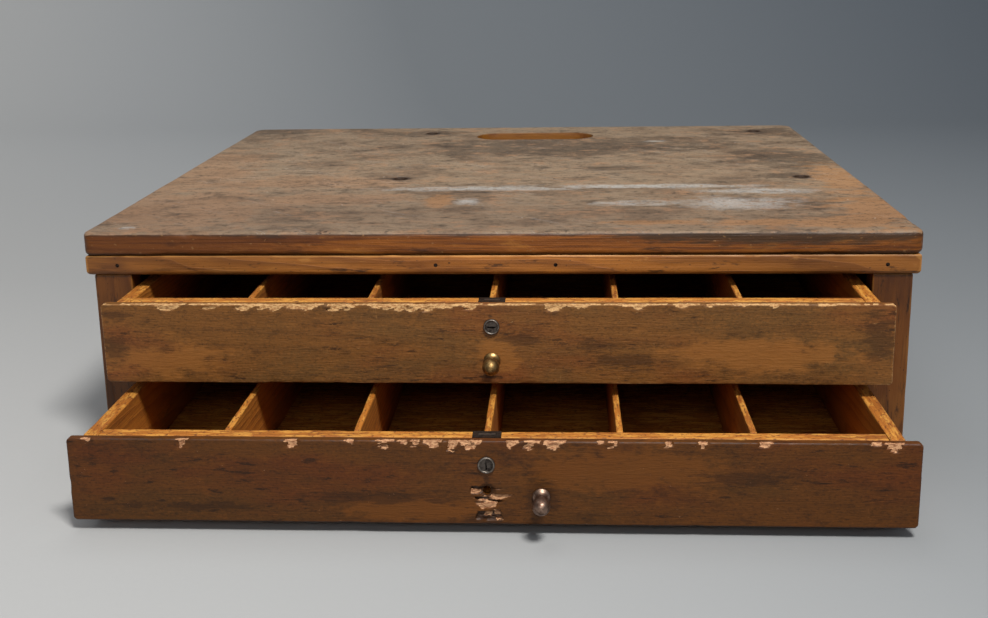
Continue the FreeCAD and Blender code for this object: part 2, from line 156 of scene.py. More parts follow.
def screen(red, green, blue):
    """Linear colour of a screen colour given from 0 to 255."""
    parts = [((c / 255 + 0.055) / 1.055) ** 2.4 if c > 10 else c / 3295 for c in (red, green, blue)]
    return (*parts, 1)


class Recipe:
    """One material's node tree. Sockets and plain numbers can both be given as inputs."""

    def __init__(self, name):
        self.material = bpy.data.materials.new(name)
        self.material.use_nodes = True
        self.tree = self.material.node_tree
        self.shader = self.tree.nodes["Principled BSDF"]

    def add(self, kind, *inputs, **settings):
        node = self.tree.nodes.new("ShaderNode" + kind)
        for key, value in settings.items():
            setattr(node, key, value)
        for place, value in enumerate(inputs):
            self.feed(node.inputs[place], value)
        return node

    def feed(self, socket, value):
        if isinstance(value, bpy.types.NodeSocket):
            self.tree.links.new(value, socket)
        elif value is not None:
            socket.default_value = value

    def shine(self, level):
        self.shader.inputs["Specular IOR Level"].default_value = level

    def place(self):
        return self.add("TexCoord").outputs["Object"]

    def attribute(self, name, part="Fac"):
        return self.add("Attribute", attribute_name=name).outputs[part]

    def math(self, operation, *values):
        return self.add("Math", *values, operation=operation).outputs[0]

    def vector(self, operation, *values):
        return self.add("VectorMath", *values, operation=operation).outputs[0]

    def stretched(self, vector, *scale):
        return self.vector("MULTIPLY", vector, scale)

    def shifted(self, vector, *step):
        return self.vector("ADD", vector, step)

    def noise(self, vector, detail=2, rough=0.5):
        node = self.add("TexNoise", vector)
        node.inputs["Scale"].default_value = 1
        node.inputs["Detail"].default_value = detail
        node.inputs["Roughness"].default_value = rough
        return node.outputs[0]

    def band(self, value, low, high):
        """0 at low and 1 at high, smooth between them."""
        node = self.add("MapRange", value, low, high, 0.0, 1.0, interpolation_type="SMOOTHSTEP")
        return node.outputs[0]

    def ramp(self, value, *stops):
        """Colours at places from 0 to 1."""
        node = self.add("ValToRGB", value)
        marks = node.color_ramp.elements
        while len(marks) < len(stops):
            marks.new(0.5)
        for mark, (at, colour) in zip(marks, stops):
            mark.position = at
            mark.color = colour
        return node.outputs[0]

    def blend(self, low, high, share, kind="MIX"):
        """Colour low where share is 0 and high where it is 1."""
        node = self.add("Mix", data_type="RGBA", blend_type=kind)
        self.feed(node.inputs[0], share)
        self.feed(node.inputs[6], low)
        self.feed(node.inputs[7], high)
        return node.outputs[2]

    def coat(self, colour, paint, mask, strength):
        """A paint laid over a colour where mask is 1, at part strength."""
        return self.blend(colour, paint, self.math("MULTIPLY", mask, strength))

    def spot(self, place, centre, reach, ragged, fray=1.3):
        """1 inside a soft spot and 0 outside it; ragged is a noise that frays its edge by fray."""
        offset = self.vector("SUBTRACT", place, centre)
        scaled = self.vector("DIVIDE", offset, reach)
        distance = self.add("VectorMath", scaled, operation="LENGTH").outputs["Value"]
        frayed = self.math("ADD", distance, self.math("MULTIPLY_ADD", ragged, fray, -fray / 2))
        return self.band(frayed, 1.15, 0.55)

    def finish(self, colour, rough, height=None, depth=0.0005):
        self.feed(self.shader.inputs["Base Color"], colour)
        self.feed(self.shader.inputs["Roughness"], rough)
        if height is not None:
            bump = self.add("Bump")
            bump.inputs["Distance"].default_value = depth
            bump.inputs["Strength"].default_value = 1
            self.feed(bump.inputs["Height"], height)
            self.feed(self.shader.inputs["Normal"], bump.outputs[0])
        return self.material


print("screen grey 128 is", round(screen(128, 128, 128)[0], 3), "in linear light")

# %% [markdown]
# Pine shows growth rings and fibres. The rings are shells round the heart of the tree, so a sawn face shows
# them as long lines that drift and close into arches. The recipe measures the distance to a heart line that
# runs a little below the board, bends it with slow noise, and folds it into rings. Each board carries its
# own grain coordinates, so the figure follows that board's length and no two boards share it.

# %% Pine figure


def pine_figure(recipe, ring=0.0042, bend=0.020):
    """Ring, fibre and blotch values of a board, each from 0 to 1."""
    grain = recipe.attribute("grain", "Vector")
    drift = recipe.noise(recipe.stretched(grain, 2.6, 11, 11), detail=2)
    waver = recipe.noise(recipe.stretched(grain, 9, 60, 60), detail=2)
    parts = recipe.add("SeparateXYZ", grain).outputs
    across = recipe.math("MULTIPLY_ADD", drift, bend * 2, parts[1])
    deep = recipe.math("MULTIPLY_ADD", waver, 0.006, recipe.math("MULTIPLY_ADD", parts[0], 0.03, parts[2]))
    deep = recipe.math("ADD", deep, 0.03)
    squares = recipe.math("ADD", recipe.math("POWER", across, 2), recipe.math("POWER", deep, 2))
    reach = recipe.math("SQRT", squares)
    turn = recipe.math("FRACT", recipe.math("MULTIPLY", reach, 1 / ring))
    late = recipe.band(turn, 0.35, 0.92)
    rings = recipe.math("MULTIPLY", late, recipe.band(turn, 1.0, 0.93))
    fibre = recipe.noise(recipe.stretched(grain, 14, 900, 900), detail=3, rough=0.6)
    blotch = recipe.noise(recipe.stretched(grain, 7, 22, 22), detail=4, rough=0.6)
    return rings, fibre, blotch


# %% [markdown]
# Varnished case pine: orange-brown where the varnish is thick, darker along the rings, nearly black where
# dirt sits in the pores, and paler on arrises that hands and cloths have rubbed.

# %% Varnished pine
PINE_PALE = screen(196, 138, 72)
PINE_AMBER = screen(150, 92, 36)
PINE_BROWN = screen(100, 56, 22)
PINE_DARK = screen(44, 26, 14)
PAINTED_STILE_SHADE = (0.38, 0.34, 0.24, 1)
PAINTED_STRIP_LIGHT = (1.2, 1.22, 1.15, 1)


def painted_end_shade(recipe, colour, place, share):
    """Painted shade: multiplies a colour by share towards both ends of a long board that crosses the chest.
    """
    across = recipe.math("ABSOLUTE", recipe.add("SeparateXYZ", place).outputs[0])
    return recipe.blend(colour, (share, share, share, 1), recipe.band(across, 0.02, 0.24), "MULTIPLY")


def case_finish(name, shade=None, ends=None):
    """Varnished pine. Shade multiplies the whole finish, as painted shade below 1 and painted light above
    1, and ends darkens it towards both sides with painted shade.
    """
    recipe = Recipe(name)
    recipe.shine(0.35)
    rings, fibre, blotch = pine_figure(recipe)
    grain = recipe.attribute("grain", "Vector")
    colour = recipe.coat(PINE_AMBER, PINE_BROWN, rings, 0.55)
    colour = recipe.blend(colour, PINE_BROWN, recipe.band(blotch, 0.46, 0.68))
    colour = recipe.coat(colour, PINE_PALE, recipe.band(blotch, 0.44, 0.3), 0.35)
    colour = recipe.coat(colour, PINE_DARK, recipe.band(fibre, 0.54, 0.76), 0.6)
    smear = recipe.noise(recipe.stretched(grain, 34, 150, 150), detail=5, rough=0.7)
    colour = recipe.coat(colour, PINE_DARK, recipe.band(smear, 0.57, 0.68), 0.8)
    colour = recipe.coat(colour, PINE_PALE, recipe.band(smear, 0.40, 0.30), 0.4)
    dots = recipe.noise(recipe.stretched(grain, 330, 520, 520), detail=2)
    colour = recipe.coat(colour, PINE_DARK, recipe.band(dots, 0.69, 0.74), 0.85)
    fray = recipe.noise(recipe.stretched(grain, 60, 300, 300), detail=3)
    arris = recipe.math("SUBTRACT", recipe.attribute("rim"), recipe.math("MULTIPLY", fray, 0.003))
    rubbed = recipe.band(arris, 0.0002, -0.0010)
    colour = recipe.coat(colour, PINE_PALE, rubbed, 0.5)
    if shade is not None:
        colour = recipe.blend(colour, shade, 1.0, "MULTIPLY")
    if ends is not None:
        colour = painted_end_shade(recipe, colour, recipe.place(), ends)
    rough = recipe.math("MULTIPLY_ADD", blotch, 0.25, 0.34)
    height = recipe.math("MULTIPLY_ADD", rings, 0.4, recipe.math("MULTIPLY_ADD", smear, -0.8, fibre))
    return recipe.finish(colour, rough, height, 0.00035)


case_pine = case_finish("case_pine")
# The stiles get a darker copy of the case pine: the darkening is painted shade.
case_shaded = case_finish("case_pine_painted_shade", PAINTED_STILE_SHADE)
# The moulding gets a brighter copy of the case pine: the brightening is painted light, and its ends are
# darkened with painted shade.
case_painted_light = case_finish("case_pine_painted_light", PAINTED_STRIP_LIGHT, 0.58)
print("finishes:", [finish.name for finish in (case_pine, case_shaded, case_painted_light)])

# %% [markdown]
# Two kinds of wear are shared by the recipes that follow. A patch is a soft spot with a frayed edge, given
# by its middle and its reach, and several patches make one mask. A scratch is the thin line where a noise
# that is stretched in one direction crosses its middle value, with gaps left in it.

# %% Patches and scratches


def patches(recipe, place, spots, ragged, fray):
    """1 inside any of several soft spots, each given by its middle and its reach."""
    masks = [recipe.spot(place, at, reach, ragged, fray) for at, reach in spots]
    best = masks[0]
    for mask in masks[1:]:
        best = recipe.math("MAXIMUM", best, mask)
    return best


def thin_line(recipe, noise, wide, narrow):
    """1 where a noise crosses its middle value: from 0 at wide off it to 1 at narrow off it."""
    return recipe.band(recipe.math("ABSOLUTE", recipe.math("SUBTRACT", noise, 0.5)), wide, narrow)


def scratches(recipe, place, angle, seed, density):
    """Thin straight marks in one direction, broken up along their length."""
    along = recipe.add("VectorRotate", place, (0, 0, 0), (0, 0, 1), angle).outputs[0]
    long_way = recipe.noise(recipe.shifted(recipe.stretched(along, 9, 700, 9), seed, seed, 0), detail=1)
    line = thin_line(recipe, long_way, 0.010, 0.0)
    gaps = recipe.noise(recipe.shifted(recipe.stretched(along, 16, 60, 60), 0, seed, 0), detail=2)
    return recipe.math("MULTIPLY", line, recipe.band(gaps, density, density + 0.05))


# %% [markdown]
# The drawer fronts were stained a dull brown over the bare pine. The stain sits unevenly: it is darker
# where it pooled, redder where the wood is hard, and it has worn to orange around the knobs. Chips along
# the upper edge show pale raw wood, so the front boards carry a chip value that this recipe turns into bare
# timber.

# %% Stained drawer fronts
STAIN_MID = screen(112, 72, 34)
STAIN_RED = screen(114, 62, 30)
STAIN_DULL = screen(98, 68, 36)
STAIN_WORN = screen(138, 88, 42)
STAIN_DARK = screen(46, 27, 14)


def stained_front(name, worn_spots, dark_spots, chip_pale, chip_tan, tone, edge_colour, rubbed_share):
    """Brown stain over pine, with given worn and dark spots and bare wood in its chips."""
    recipe = Recipe(name)
    recipe.shine(0.25)
    rings, fibre, blotch = pine_figure(recipe, ring=0.006)
    grain = recipe.attribute("grain", "Vector")
    place = recipe.place()
    wide = recipe.noise(recipe.stretched(grain, 6, 19, 19), detail=4, rough=0.6)
    mottle = recipe.noise(recipe.stretched(grain, 60, 120, 120), detail=6, rough=0.72)
    dashes = recipe.noise(recipe.stretched(grain, 48, 230, 230), detail=5, rough=0.7)
    lines = recipe.noise(recipe.stretched(grain, 120, 900, 900), detail=2)
    grit = recipe.noise(recipe.stretched(grain, 420, 600, 600), detail=3, rough=0.7)
    colour = recipe.coat(STAIN_MID, STAIN_RED, recipe.band(wide, 0.46, 0.66), 0.75)
    colour = recipe.coat(colour, STAIN_DULL, recipe.band(blotch, 0.46, 0.62), 0.7)
    colour = recipe.coat(colour, STAIN_DARK, rings, 0.12)
    colour = recipe.coat(colour, STAIN_WORN, recipe.band(mottle, 0.47, 0.32), 0.4)
    colour = recipe.coat(colour, STAIN_DARK, recipe.band(mottle, 0.52, 0.72), 0.5)
    colour = recipe.coat(colour, STAIN_DARK, recipe.band(fibre, 0.5, 0.8), 0.35)
    colour = recipe.coat(colour, STAIN_DARK, recipe.band(lines, 0.55, 0.8), 0.2)
    dark_dashes = recipe.math("ADD", dashes, recipe.math("MULTIPLY_ADD", wide, 0.3, -0.15))
    colour = recipe.coat(colour, STAIN_DARK, recipe.band(dark_dashes, 0.585, 0.68), 0.8)
    colour = recipe.coat(colour, STAIN_DARK, recipe.band(grit, 0.53, 0.68), 0.45)
    colour = recipe.coat(colour, STAIN_WORN, recipe.band(grit, 0.45, 0.32), 0.4)
    fray = recipe.noise(recipe.stretched(grain, 160, 480, 480), detail=4, rough=0.75)
    colour = recipe.coat(colour, STAIN_WORN, patches(recipe, place, worn_spots, mottle, 3.0), 0.7)
    smudge = recipe.math("ADD", mottle, recipe.math("MULTIPLY_ADD", dashes, 1.2, -0.6))
    colour = recipe.coat(colour, STAIN_DARK, patches(recipe, place, dark_spots, smudge, 3.2), 0.55)
    flecks = recipe.noise(recipe.stretched(grain, 420, 700, 700), detail=1)
    colour = recipe.coat(colour, chip_tan, recipe.band(flecks, 0.77, 0.8), 0.8)
    colour = recipe.coat(colour, chip_tan, scratches(recipe, place, 0.55, 4.0, 0.64), 0.5)
    colour = recipe.blend(colour, tone, 1.0, "MULTIPLY")
    rim = recipe.attribute("rim")
    arris = recipe.band(recipe.math("MULTIPLY_ADD", fray, -0.0042, rim), -0.0008, -0.0022)
    colour = recipe.coat(colour, edge_colour, arris, rubbed_share)
    colour = recipe.coat(colour, STAIN_DARK, recipe.attribute("dirt"), 0.9)
    chip = recipe.attribute("chip")
    torn = recipe.band(recipe.math("ADD", chip, recipe.math("MULTIPLY_ADD", fray, 2.2, -1.1)), 0.42, 0.54)
    shred = recipe.noise(recipe.stretched(grain, 300, 900, 900), detail=3, rough=0.7)
    timber = recipe.blend(chip_pale, chip_tan, recipe.band(shred, 0.42, 0.6))
    timber = recipe.coat(timber, STAIN_MID, recipe.band(shred, 0.62, 0.72), 0.8)
    colour = recipe.blend(colour, timber, torn)
    rough = recipe.math("MULTIPLY_ADD", torn, 0.3, recipe.math("MULTIPLY_ADD", blotch, 0.25, 0.38))
    height = recipe.math("MULTIPLY_ADD", mottle, 1.2, recipe.math("MULTIPLY_ADD", shred, torn, lines))
    return recipe.finish(colour, rough, height, 0.0003)


# %% [markdown]
# Inside the drawers the pine was never finished. It has darkened to honey, the top edges of the boards are
# rubbed pale by hands, and dirt lies in patches and in grit along the top edges.

# %% Bare pine
BARE_LIGHT = screen(206, 150, 66)
BARE_HONEY = screen(164, 100, 32)
BARE_DEEP = screen(116, 62, 20)
BARE_DIRT = screen(84, 44, 18)


def bare_pine():
    recipe = Recipe("raw_pine")
    recipe.shine(0.3)
    rings, fibre, blotch = pine_figure(recipe, ring=0.003, bend=0.012)
    grain = recipe.attribute("grain", "Vector")
    colour = recipe.coat(BARE_HONEY, BARE_DEEP, rings, 0.4)
    colour = recipe.coat(colour, BARE_DEEP, recipe.band(blotch, 0.46, 0.7), 0.8)
    colour = recipe.coat(colour, BARE_DEEP, recipe.band(fibre, 0.54, 0.74), 0.6)
    dirt = recipe.noise(recipe.stretched(grain, 40, 170, 170), detail=5, rough=0.7)
    colour = recipe.coat(colour, BARE_DIRT, recipe.band(dirt, 0.56, 0.7), 0.6)
    fray = recipe.noise(recipe.stretched(grain, 60, 300, 300), detail=4, rough=0.65)
    edge = recipe.attribute("top_edge")
    rubbed = recipe.math("MULTIPLY", edge, recipe.band(fray, 0.46, 0.60))
    colour = recipe.coat(colour, BARE_LIGHT, rubbed, 0.6)
    grit = recipe.noise(recipe.stretched(grain, 240, 500, 500), detail=3, rough=0.7)
    gritty = recipe.math("MULTIPLY", edge, recipe.band(grit, 0.54, 0.64))
    colour = recipe.coat(colour, BARE_DIRT, gritty, 0.9)
    rough = recipe.math("MULTIPLY_ADD", fibre, 0.2, 0.55)
    return recipe.finish(colour, rough, recipe.math("MULTIPLY_ADD", rings, 0.5, fibre), 0.0003)


raw_pine = bare_pine()
print("finish:", raw_pine.name, len(raw_pine.node_tree.nodes), "nodes")

# %% [markdown]
# The top took most of the wear. Old varnish is left as a grey-brown skin, bare tan wood shows on the left,
# orange wood along the front and right edges, and milky smears run across the middle right. Where each of
# these lies is written down first, as patches with a middle and a reach, because a patch in the right place
# says more about a used board than any amount of random noise.

# %% Where the top is worn
SKIN_GREY = screen(140, 120, 97)
SKIN_BROWN = screen(116, 96, 76)
SKIN_DARK = screen(58, 46, 36)
TOP_TAN = screen(154, 120, 90)
TOP_ORANGE = screen(160, 118, 78)
MILK = screen(180, 178, 172)
WHITE_SPECK = screen(232, 226, 214)
PAINTED_FRONT_SHADE = (0.74, 0.71, 0.71, 1)
SLOT_WALL = screen(124, 76, 18)
TAN_SPOTS = [
    ((-0.27, -0.19, 0.19), (0.09, 0.10, 1)),
    ((-0.31, -0.02, 0.19), (0.06, 0.15, 1)),
    ((-0.19, -0.07, 0.19), (0.12, 0.035, 1)),
    ((-0.16, -0.15, 0.19), (0.10, 0.025, 1)),
]
ORANGE_SPOTS = [
    ((0.245, -0.252, 0.19), (0.085, 0.020, 1)),
    ((0.305, -0.20, 0.19), (0.036, 0.075, 1)),
    ((0.305, -0.07, 0.19), (0.022, 0.075, 1)),
    ((-0.056, -0.160, 0.19), (0.013, 0.034, 1)),
    ((0.115, -0.248, 0.19), (0.045, 0.009, 1)),
]
MILK_SPOTS = [
    ((-0.02, -0.108, 0.19), (0.10, 0.012, 1)),
    ((0.12, -0.100, 0.19), (0.12, 0.012, 1)),
    ((0.225, -0.125, 0.19), (0.05, 0.014, 1)),
    ((0.115, -0.175, 0.19), (0.045, 0.012, 1)),
    ((-0.03, -0.165, 0.19), (0.012, 0.014, 1)),
    ((0.20, -0.175, 0.19), (0.05, 0.03, 1)),
    ((0.155, 0.162, 0.19), (0.014, 0.006, 1)),
    ((-0.294, -0.262, 0.19), (0.007, 0.006, 1)),
]
CRACK_SPOTS = [
    ((-0.175, -0.085, 0.19), (0.055, 0.035, 1)),
    ((-0.10, -0.10, 0.19), (0.03, 0.02, 1)),
    ((0.02, 0.02, 0.19), (0.03, 0.05, 1)),
    ((-0.15, -0.275, 0.18), (0.030, 0.02, 0.03)),
]
DARK_SPOTS = [
    ((0.05, 0.13, 0.19), (0.20, 0.07, 1)),
    ((0.275, -0.055, 0.19), (0.045, 0.016, 1)),
    ((-0.105, -0.0575, 0.19), (0.030, 0.009, 1)),
    ((-0.115, 0.230, 0.19), (0.060, 0.022, 1)),
    ((0.275, 0.232, 0.19), (0.060, 0.030, 1)),
    ((0.262, -0.19, 0.19), (0.014, 0.022, 1)),
    ((0.10, -0.005, 0.19), (0.04, 0.014, 1)),
    ((-0.30, 0.26, 0.19), (0.10, 0.03, 1)),
    ((0.27, 0.05, 0.19), (0.06, 0.06, 1)),
]
TOP_SPOTS = (TAN_SPOTS, ORANGE_SPOTS, MILK_SPOTS, CRACK_SPOTS, DARK_SPOTS)
print("patches on the top:", sum(len(spots) for spots in TOP_SPOTS))

# %% [markdown]
# The edges of the top, where nothing was ever put down, keep their amber varnish. It is streaked along the
# board, browner at the left, and grey with old dust towards the right. Both rims are darkened, with dust at
# the upper one and painted shade at the lower one, and painted shade darkens the edge towards both ends.

# %% Varnished edge of the top
EDGE_GREY = screen(66, 52, 42)
EDGE_DUST_AND_SHADE = screen(58, 40, 28)
EDGE_TONE = (0.70, 0.61, 0.40, 1)
EDGE_MIDDLE = 0.1798


def varnished_edge(recipe, rings, place, side_fray):
    """Amber varnish on the rim of the top, grey and dirty towards the right, with dust and painted shade
    along its rims and painted shade towards both ends.
    """
    edge = recipe.coat(PINE_AMBER, PINE_BROWN, rings, 0.5)
    lines = recipe.noise(recipe.stretched(place, 10, 10, 420), detail=4, rough=0.6)
    edge = recipe.blend(edge, PINE_BROWN, recipe.band(lines, 0.48, 0.64))
    patchy = recipe.noise(recipe.stretched(place, 22, 22, 90), detail=5, rough=0.65)
    edge = recipe.coat(edge, PINE_DARK, recipe.band(patchy, 0.55, 0.7), 0.8)
    edge = recipe.coat(edge, PINE_PALE, recipe.band(patchy, 0.42, 0.3), 0.35)
    left = recipe.spot(place, (-0.27, -0.28, 0.180), (0.13, 0.05, 0.03), side_fray)
    edge = recipe.coat(edge, PINE_BROWN, left, 0.6)
    grey = recipe.spot(place, (0.215, -0.28, 0.1875), (0.14, 0.05, 0.0095), side_fray)
    edge = recipe.coat(edge, EDGE_GREY, grey, 0.85)
    level = recipe.add("SeparateXYZ", place).outputs[2]
    off_middle = recipe.math("ABSOLUTE", recipe.math("SUBTRACT", level, EDGE_MIDDLE))
    # Dark along both rims: dust at the upper rim and painted shade at the lower one.
    dust_and_painted_shade = recipe.band(recipe.math("MULTIPLY_ADD", patchy, 0.006, off_middle), 0.0085, 0.0115)
    edge = recipe.coat(edge, EDGE_DUST_AND_SHADE, dust_and_painted_shade, 0.85)
    flecks = recipe.noise(recipe.stretched(place, 260, 260, 420), detail=2)
    edge = recipe.coat(edge, TOP_TAN, recipe.band(flecks, 0.68, 0.73), 0.7)
    # The edge is darkened towards both ends with painted shade.
    return recipe.blend(painted_end_shade(recipe, edge, place, 0.85), EDGE_TONE, 1.0, "MULTIPLY")


# %% [markdown]
# The recipe for the top lays its coats in the order in which they came: first the skin and its patches,
# then dirt in the fibres and pits, then cracks, scratches and white specks, then painted shade that darkens
# the top towards its front, and last the places that the board's shape gives: the stain round each hole,
# the varnished edge, and the brown wall of the hand slot.

# %% Weathered top


def worn_skin(recipe, place, fray, streak, cloud):
    """The old varnish skin with its tan, dark and orange patches."""
    colour = recipe.blend(SKIN_GREY, SKIN_BROWN, recipe.band(cloud, 0.42, 0.62))
    colour = recipe.coat(colour, TOP_TAN, patches(recipe, place, TAN_SPOTS, fray, 3.0), 0.6)
    colour = recipe.coat(colour, SKIN_DARK, patches(recipe, place, DARK_SPOTS, fray, 3.0), 0.6)
    colour = recipe.coat(colour, SKIN_DARK, recipe.band(cloud, 0.54, 0.76), 0.4)
    colour = recipe.coat(colour, SKIN_DARK, recipe.band(streak, 0.53, 0.74), 0.45)
    colour = recipe.coat(colour, TOP_TAN, recipe.band(streak, 0.46, 0.28), 0.55)
    worked = recipe.noise(recipe.stretched(place, 42, 66, 66), detail=5, rough=0.7)
    colour = recipe.coat(colour, SKIN_DARK, recipe.band(worked, 0.52, 0.68), 0.62)
    colour = recipe.coat(colour, TOP_TAN, recipe.band(worked, 0.47, 0.33), 0.85)
    return recipe.coat(colour, TOP_ORANGE, patches(recipe, place, ORANGE_SPOTS, fray, 3.4), 0.75)


def small_marks(recipe, colour, place, fray, dark_scratches):
    """Cracks, scratches and white specks over a colour."""
    wander = recipe.noise(recipe.stretched(place, 34, 70, 70), detail=3)
    cracked = patches(recipe, place, CRACK_SPOTS, fray, 3.0)
    cracks = recipe.math("MULTIPLY", thin_line(recipe, wander, 0.012, 0.003), cracked)
    colour = recipe.coat(colour, PINE_DARK, cracks, 0.85)
    colour = recipe.coat(colour, MILK, scratches(recipe, place, 0.7, 3.0, 0.56), 0.6)
    colour = recipe.coat(colour, SKIN_DARK, dark_scratches, 0.8)
    speck = recipe.noise(recipe.stretched(place, 230, 290, 290), detail=1)
    return recipe.blend(colour, WHITE_SPECK, recipe.band(speck, 0.80, 0.82))


def weathered_top():
    recipe = Recipe("weathered_top")
    recipe.shine(0.3)
    rings, fibre, _ = pine_figure(recipe, ring=0.007, bend=0.03)
    grain = recipe.attribute("grain", "Vector")
    place = recipe.place()
    fray = recipe.noise(recipe.stretched(place, 34, 60, 60), detail=6, rough=0.7)
    streak = recipe.noise(recipe.stretched(grain, 20, 110, 110), detail=5, rough=0.7)
    cloud = recipe.noise(recipe.stretched(place, 15, 21, 21), detail=7, rough=0.68)
    pits = recipe.noise(recipe.stretched(place, 150, 190, 190), detail=4, rough=0.75)
    grit = recipe.noise(recipe.stretched(place, 420, 480, 480), detail=2, rough=0.7)
    colour = worn_skin(recipe, place, fray, streak, cloud)
    milk = patches(recipe, place, MILK_SPOTS, fray, 3.0)
    smear = recipe.math("MULTIPLY", milk, recipe.band(recipe.math("ADD", fray, pits), 0.74, 1.12))
    colour = recipe.coat(colour, MILK, smear, 0.75)
    colour = recipe.coat(colour, SKIN_DARK, recipe.band(fibre, 0.58, 0.76), 0.4)
    colour = recipe.coat(colour, SKIN_DARK, recipe.band(pits, 0.54, 0.66), 0.65)
    colour = recipe.coat(colour, TOP_TAN, recipe.band(pits, 0.44, 0.32), 0.6)
    colour = recipe.coat(colour, SKIN_DARK, recipe.band(grit, 0.60, 0.70), 0.5)
    dark_scratches = scratches(recipe, place, -0.06, 9.0, 0.56)
    colour = small_marks(recipe, colour, place, fray, dark_scratches)
    # Painted shade: the top is darkened towards its front.
    front_shade_mask = recipe.band(recipe.add("SeparateXYZ", place).outputs[1], -0.02, -0.24)
    colour = recipe.blend(colour, PAINTED_FRONT_SHADE, front_shade_mask, "MULTIPLY")
    hole = recipe.math("SUBTRACT", recipe.attribute("hole"), 0.4)
    stained = recipe.band(recipe.math("MULTIPLY_ADD", fray, 0.8, hole), 0.15, 0.65)
    colour = recipe.coat(colour, PINE_DARK, stained, 0.85)
    flank = recipe.math("SUBTRACT", recipe.attribute("flank"), 0.25)
    side_fray = recipe.noise(recipe.stretched(place, 60, 60, 420), detail=4)
    side = recipe.band(recipe.math("MULTIPLY_ADD", side_fray, 0.5, flank), 0.35, 0.6)
    colour = recipe.blend(colour, varnished_edge(recipe, rings, place, side_fray), side)
    wall = recipe.blend(SLOT_WALL, PINE_BROWN, recipe.band(streak, 0.45, 0.7))
    colour = recipe.blend(colour, wall, recipe.attribute("bore"))
    cut_in = recipe.math("MULTIPLY", dark_scratches, recipe.math("SUBTRACT", 1.0, side))
    rough = recipe.math("MULTIPLY_ADD", side, -0.16, recipe.math("MULTIPLY_ADD", cloud, 0.2, 0.52))
    height = recipe.math("MULTIPLY_ADD", cut_in, -1.5, recipe.math("MULTIPLY_ADD", pits, -1.2, fibre))
    return recipe.finish(colour, rough, height, 0.0004)


top_finish = weathered_top()
print("finish:", top_finish.name, len(top_finish.node_tree.nodes), "nodes")

# %% [markdown]
# Metals are mostly about how they reflect. The lock is tarnished nickelled steel, the upper knob is worn
# brass, the lower knob has gone dull and pinkish, and the nails are black iron. Each is fully metallic, and
# a noise makes its roughness and colour uneven.

# %% Metals


def metal(name, bright, dull, smooth, rough, scale=420):
    """A metal that goes from bright and smooth to dull and rough over patches of tarnish."""
    recipe = Recipe(name)
    recipe.shader.inputs["Metallic"].default_value = 1.0
    place = recipe.place()
    tarnish = recipe.noise(recipe.stretched(place, scale, scale, scale), detail=4, rough=0.6)
    fine = recipe.noise(recipe.stretched(place, scale * 6, scale * 6, scale * 6), detail=2)
    share = recipe.band(tarnish, 0.4, 0.64)
    colour = recipe.blend(bright, dull, share)
    spread = recipe.math("MULTIPLY_ADD", share, rough - smooth, smooth)
    return recipe.finish(colour, spread, recipe.math("ADD", tarnish, fine), 0.00006)


steel = metal("steel", screen(130, 122, 114), screen(84, 76, 70), 0.40, 0.56, 260)
brass = metal("brass", screen(160, 130, 84), screen(100, 76, 46), 0.40, 0.56, 240)
dull_brass = metal("dull_brass", screen(146, 120, 104), screen(88, 68, 58), 0.40, 0.56, 240)
dark_steel = metal("steel_dark", screen(92, 84, 78), screen(52, 46, 42), 0.38, 0.6, 260)
iron = metal("iron", screen(60, 52, 48), screen(34, 26, 22), 0.5, 0.8)
print("metals:", [finish.name for finish in (steel, brass, dull_brass, dark_steel, iron)])

# %% [markdown]
# Shapes need randomness too, and it has to come out the same each time. A value noise gives each corner of
# a grid a number worked out from its place and a seed, and blends smoothly between corners.

# %% Value noise


def corner_values(cells, seed):
    """A fixed random value from 0 to 1 for each whole-number cell."""
    mixed = (cells[..., 0] * 73856093) ^ (cells[..., 1] * 19349663) ^ (cells[..., 2] * 83492791)
    mixed = (mixed ^ (seed * 2654435761)) & 0xFFFFFFFF
    mixed = ((mixed ^ (mixed >> 15)) * 2246822519) & 0xFFFFFFFF
    mixed = ((mixed ^ (mixed >> 13)) * 3266489917) & 0xFFFFFFFF
    return (mixed ^ (mixed >> 16)) / 0xFFFFFFFF


def smooth_noise(points, size, seed, layers=2):
    """Noise from 0 to 1 at each point; size is how far apart its bumps are on each axis, in metres."""
    total, weight = 0.0, 0.0
    for layer in range(layers):
        scaled = points / (np.asarray(size, float) / 2**layer)
        base = np.floor(scaled)
        part = scaled - base
        part = part * part * (3 - 2 * part)
        base = base.astype(np.int64)
        value = 0.0
        for corner in range(8):
            bits = np.array([corner & 1, corner >> 1 & 1, corner >> 2])
            share = np.where(bits, part, 1 - part).prod(axis=-1)
            value = value + share * corner_values(base + bits, seed + layer)
        total = total + value * 0.5**layer
        weight += 0.5**layer
    return total / weight


print("noise at the origin:", round(float(smooth_noise(np.zeros((1, 3)), (0.1, 0.1, 0.1), 1)[0]), 3))

# %% [markdown]
# A board starts as a box whose surface is a grid, with grid lines close together along its arrises. The
# arrises are rounded by pulling every point onto a ball that rolls inside the box, and the ball's size
# varies along the board, which is what wear does. Small dents push points inward only, so a worn board
# never grows.

# %% Board geometry


def grid_lines(half, step, rim):
    """Grid lines from -half to half: close together over the rim at each end, step apart between."""
    close = rim * np.array([0.0, 0.14, 0.34, 0.6, 0.85])
    inner = half - rim
    middle = np.linspace(-inner, inner, max(1, int(round(2 * inner / step))) + 1)
    return np.concatenate([close - half, middle, half - close[::-1]])


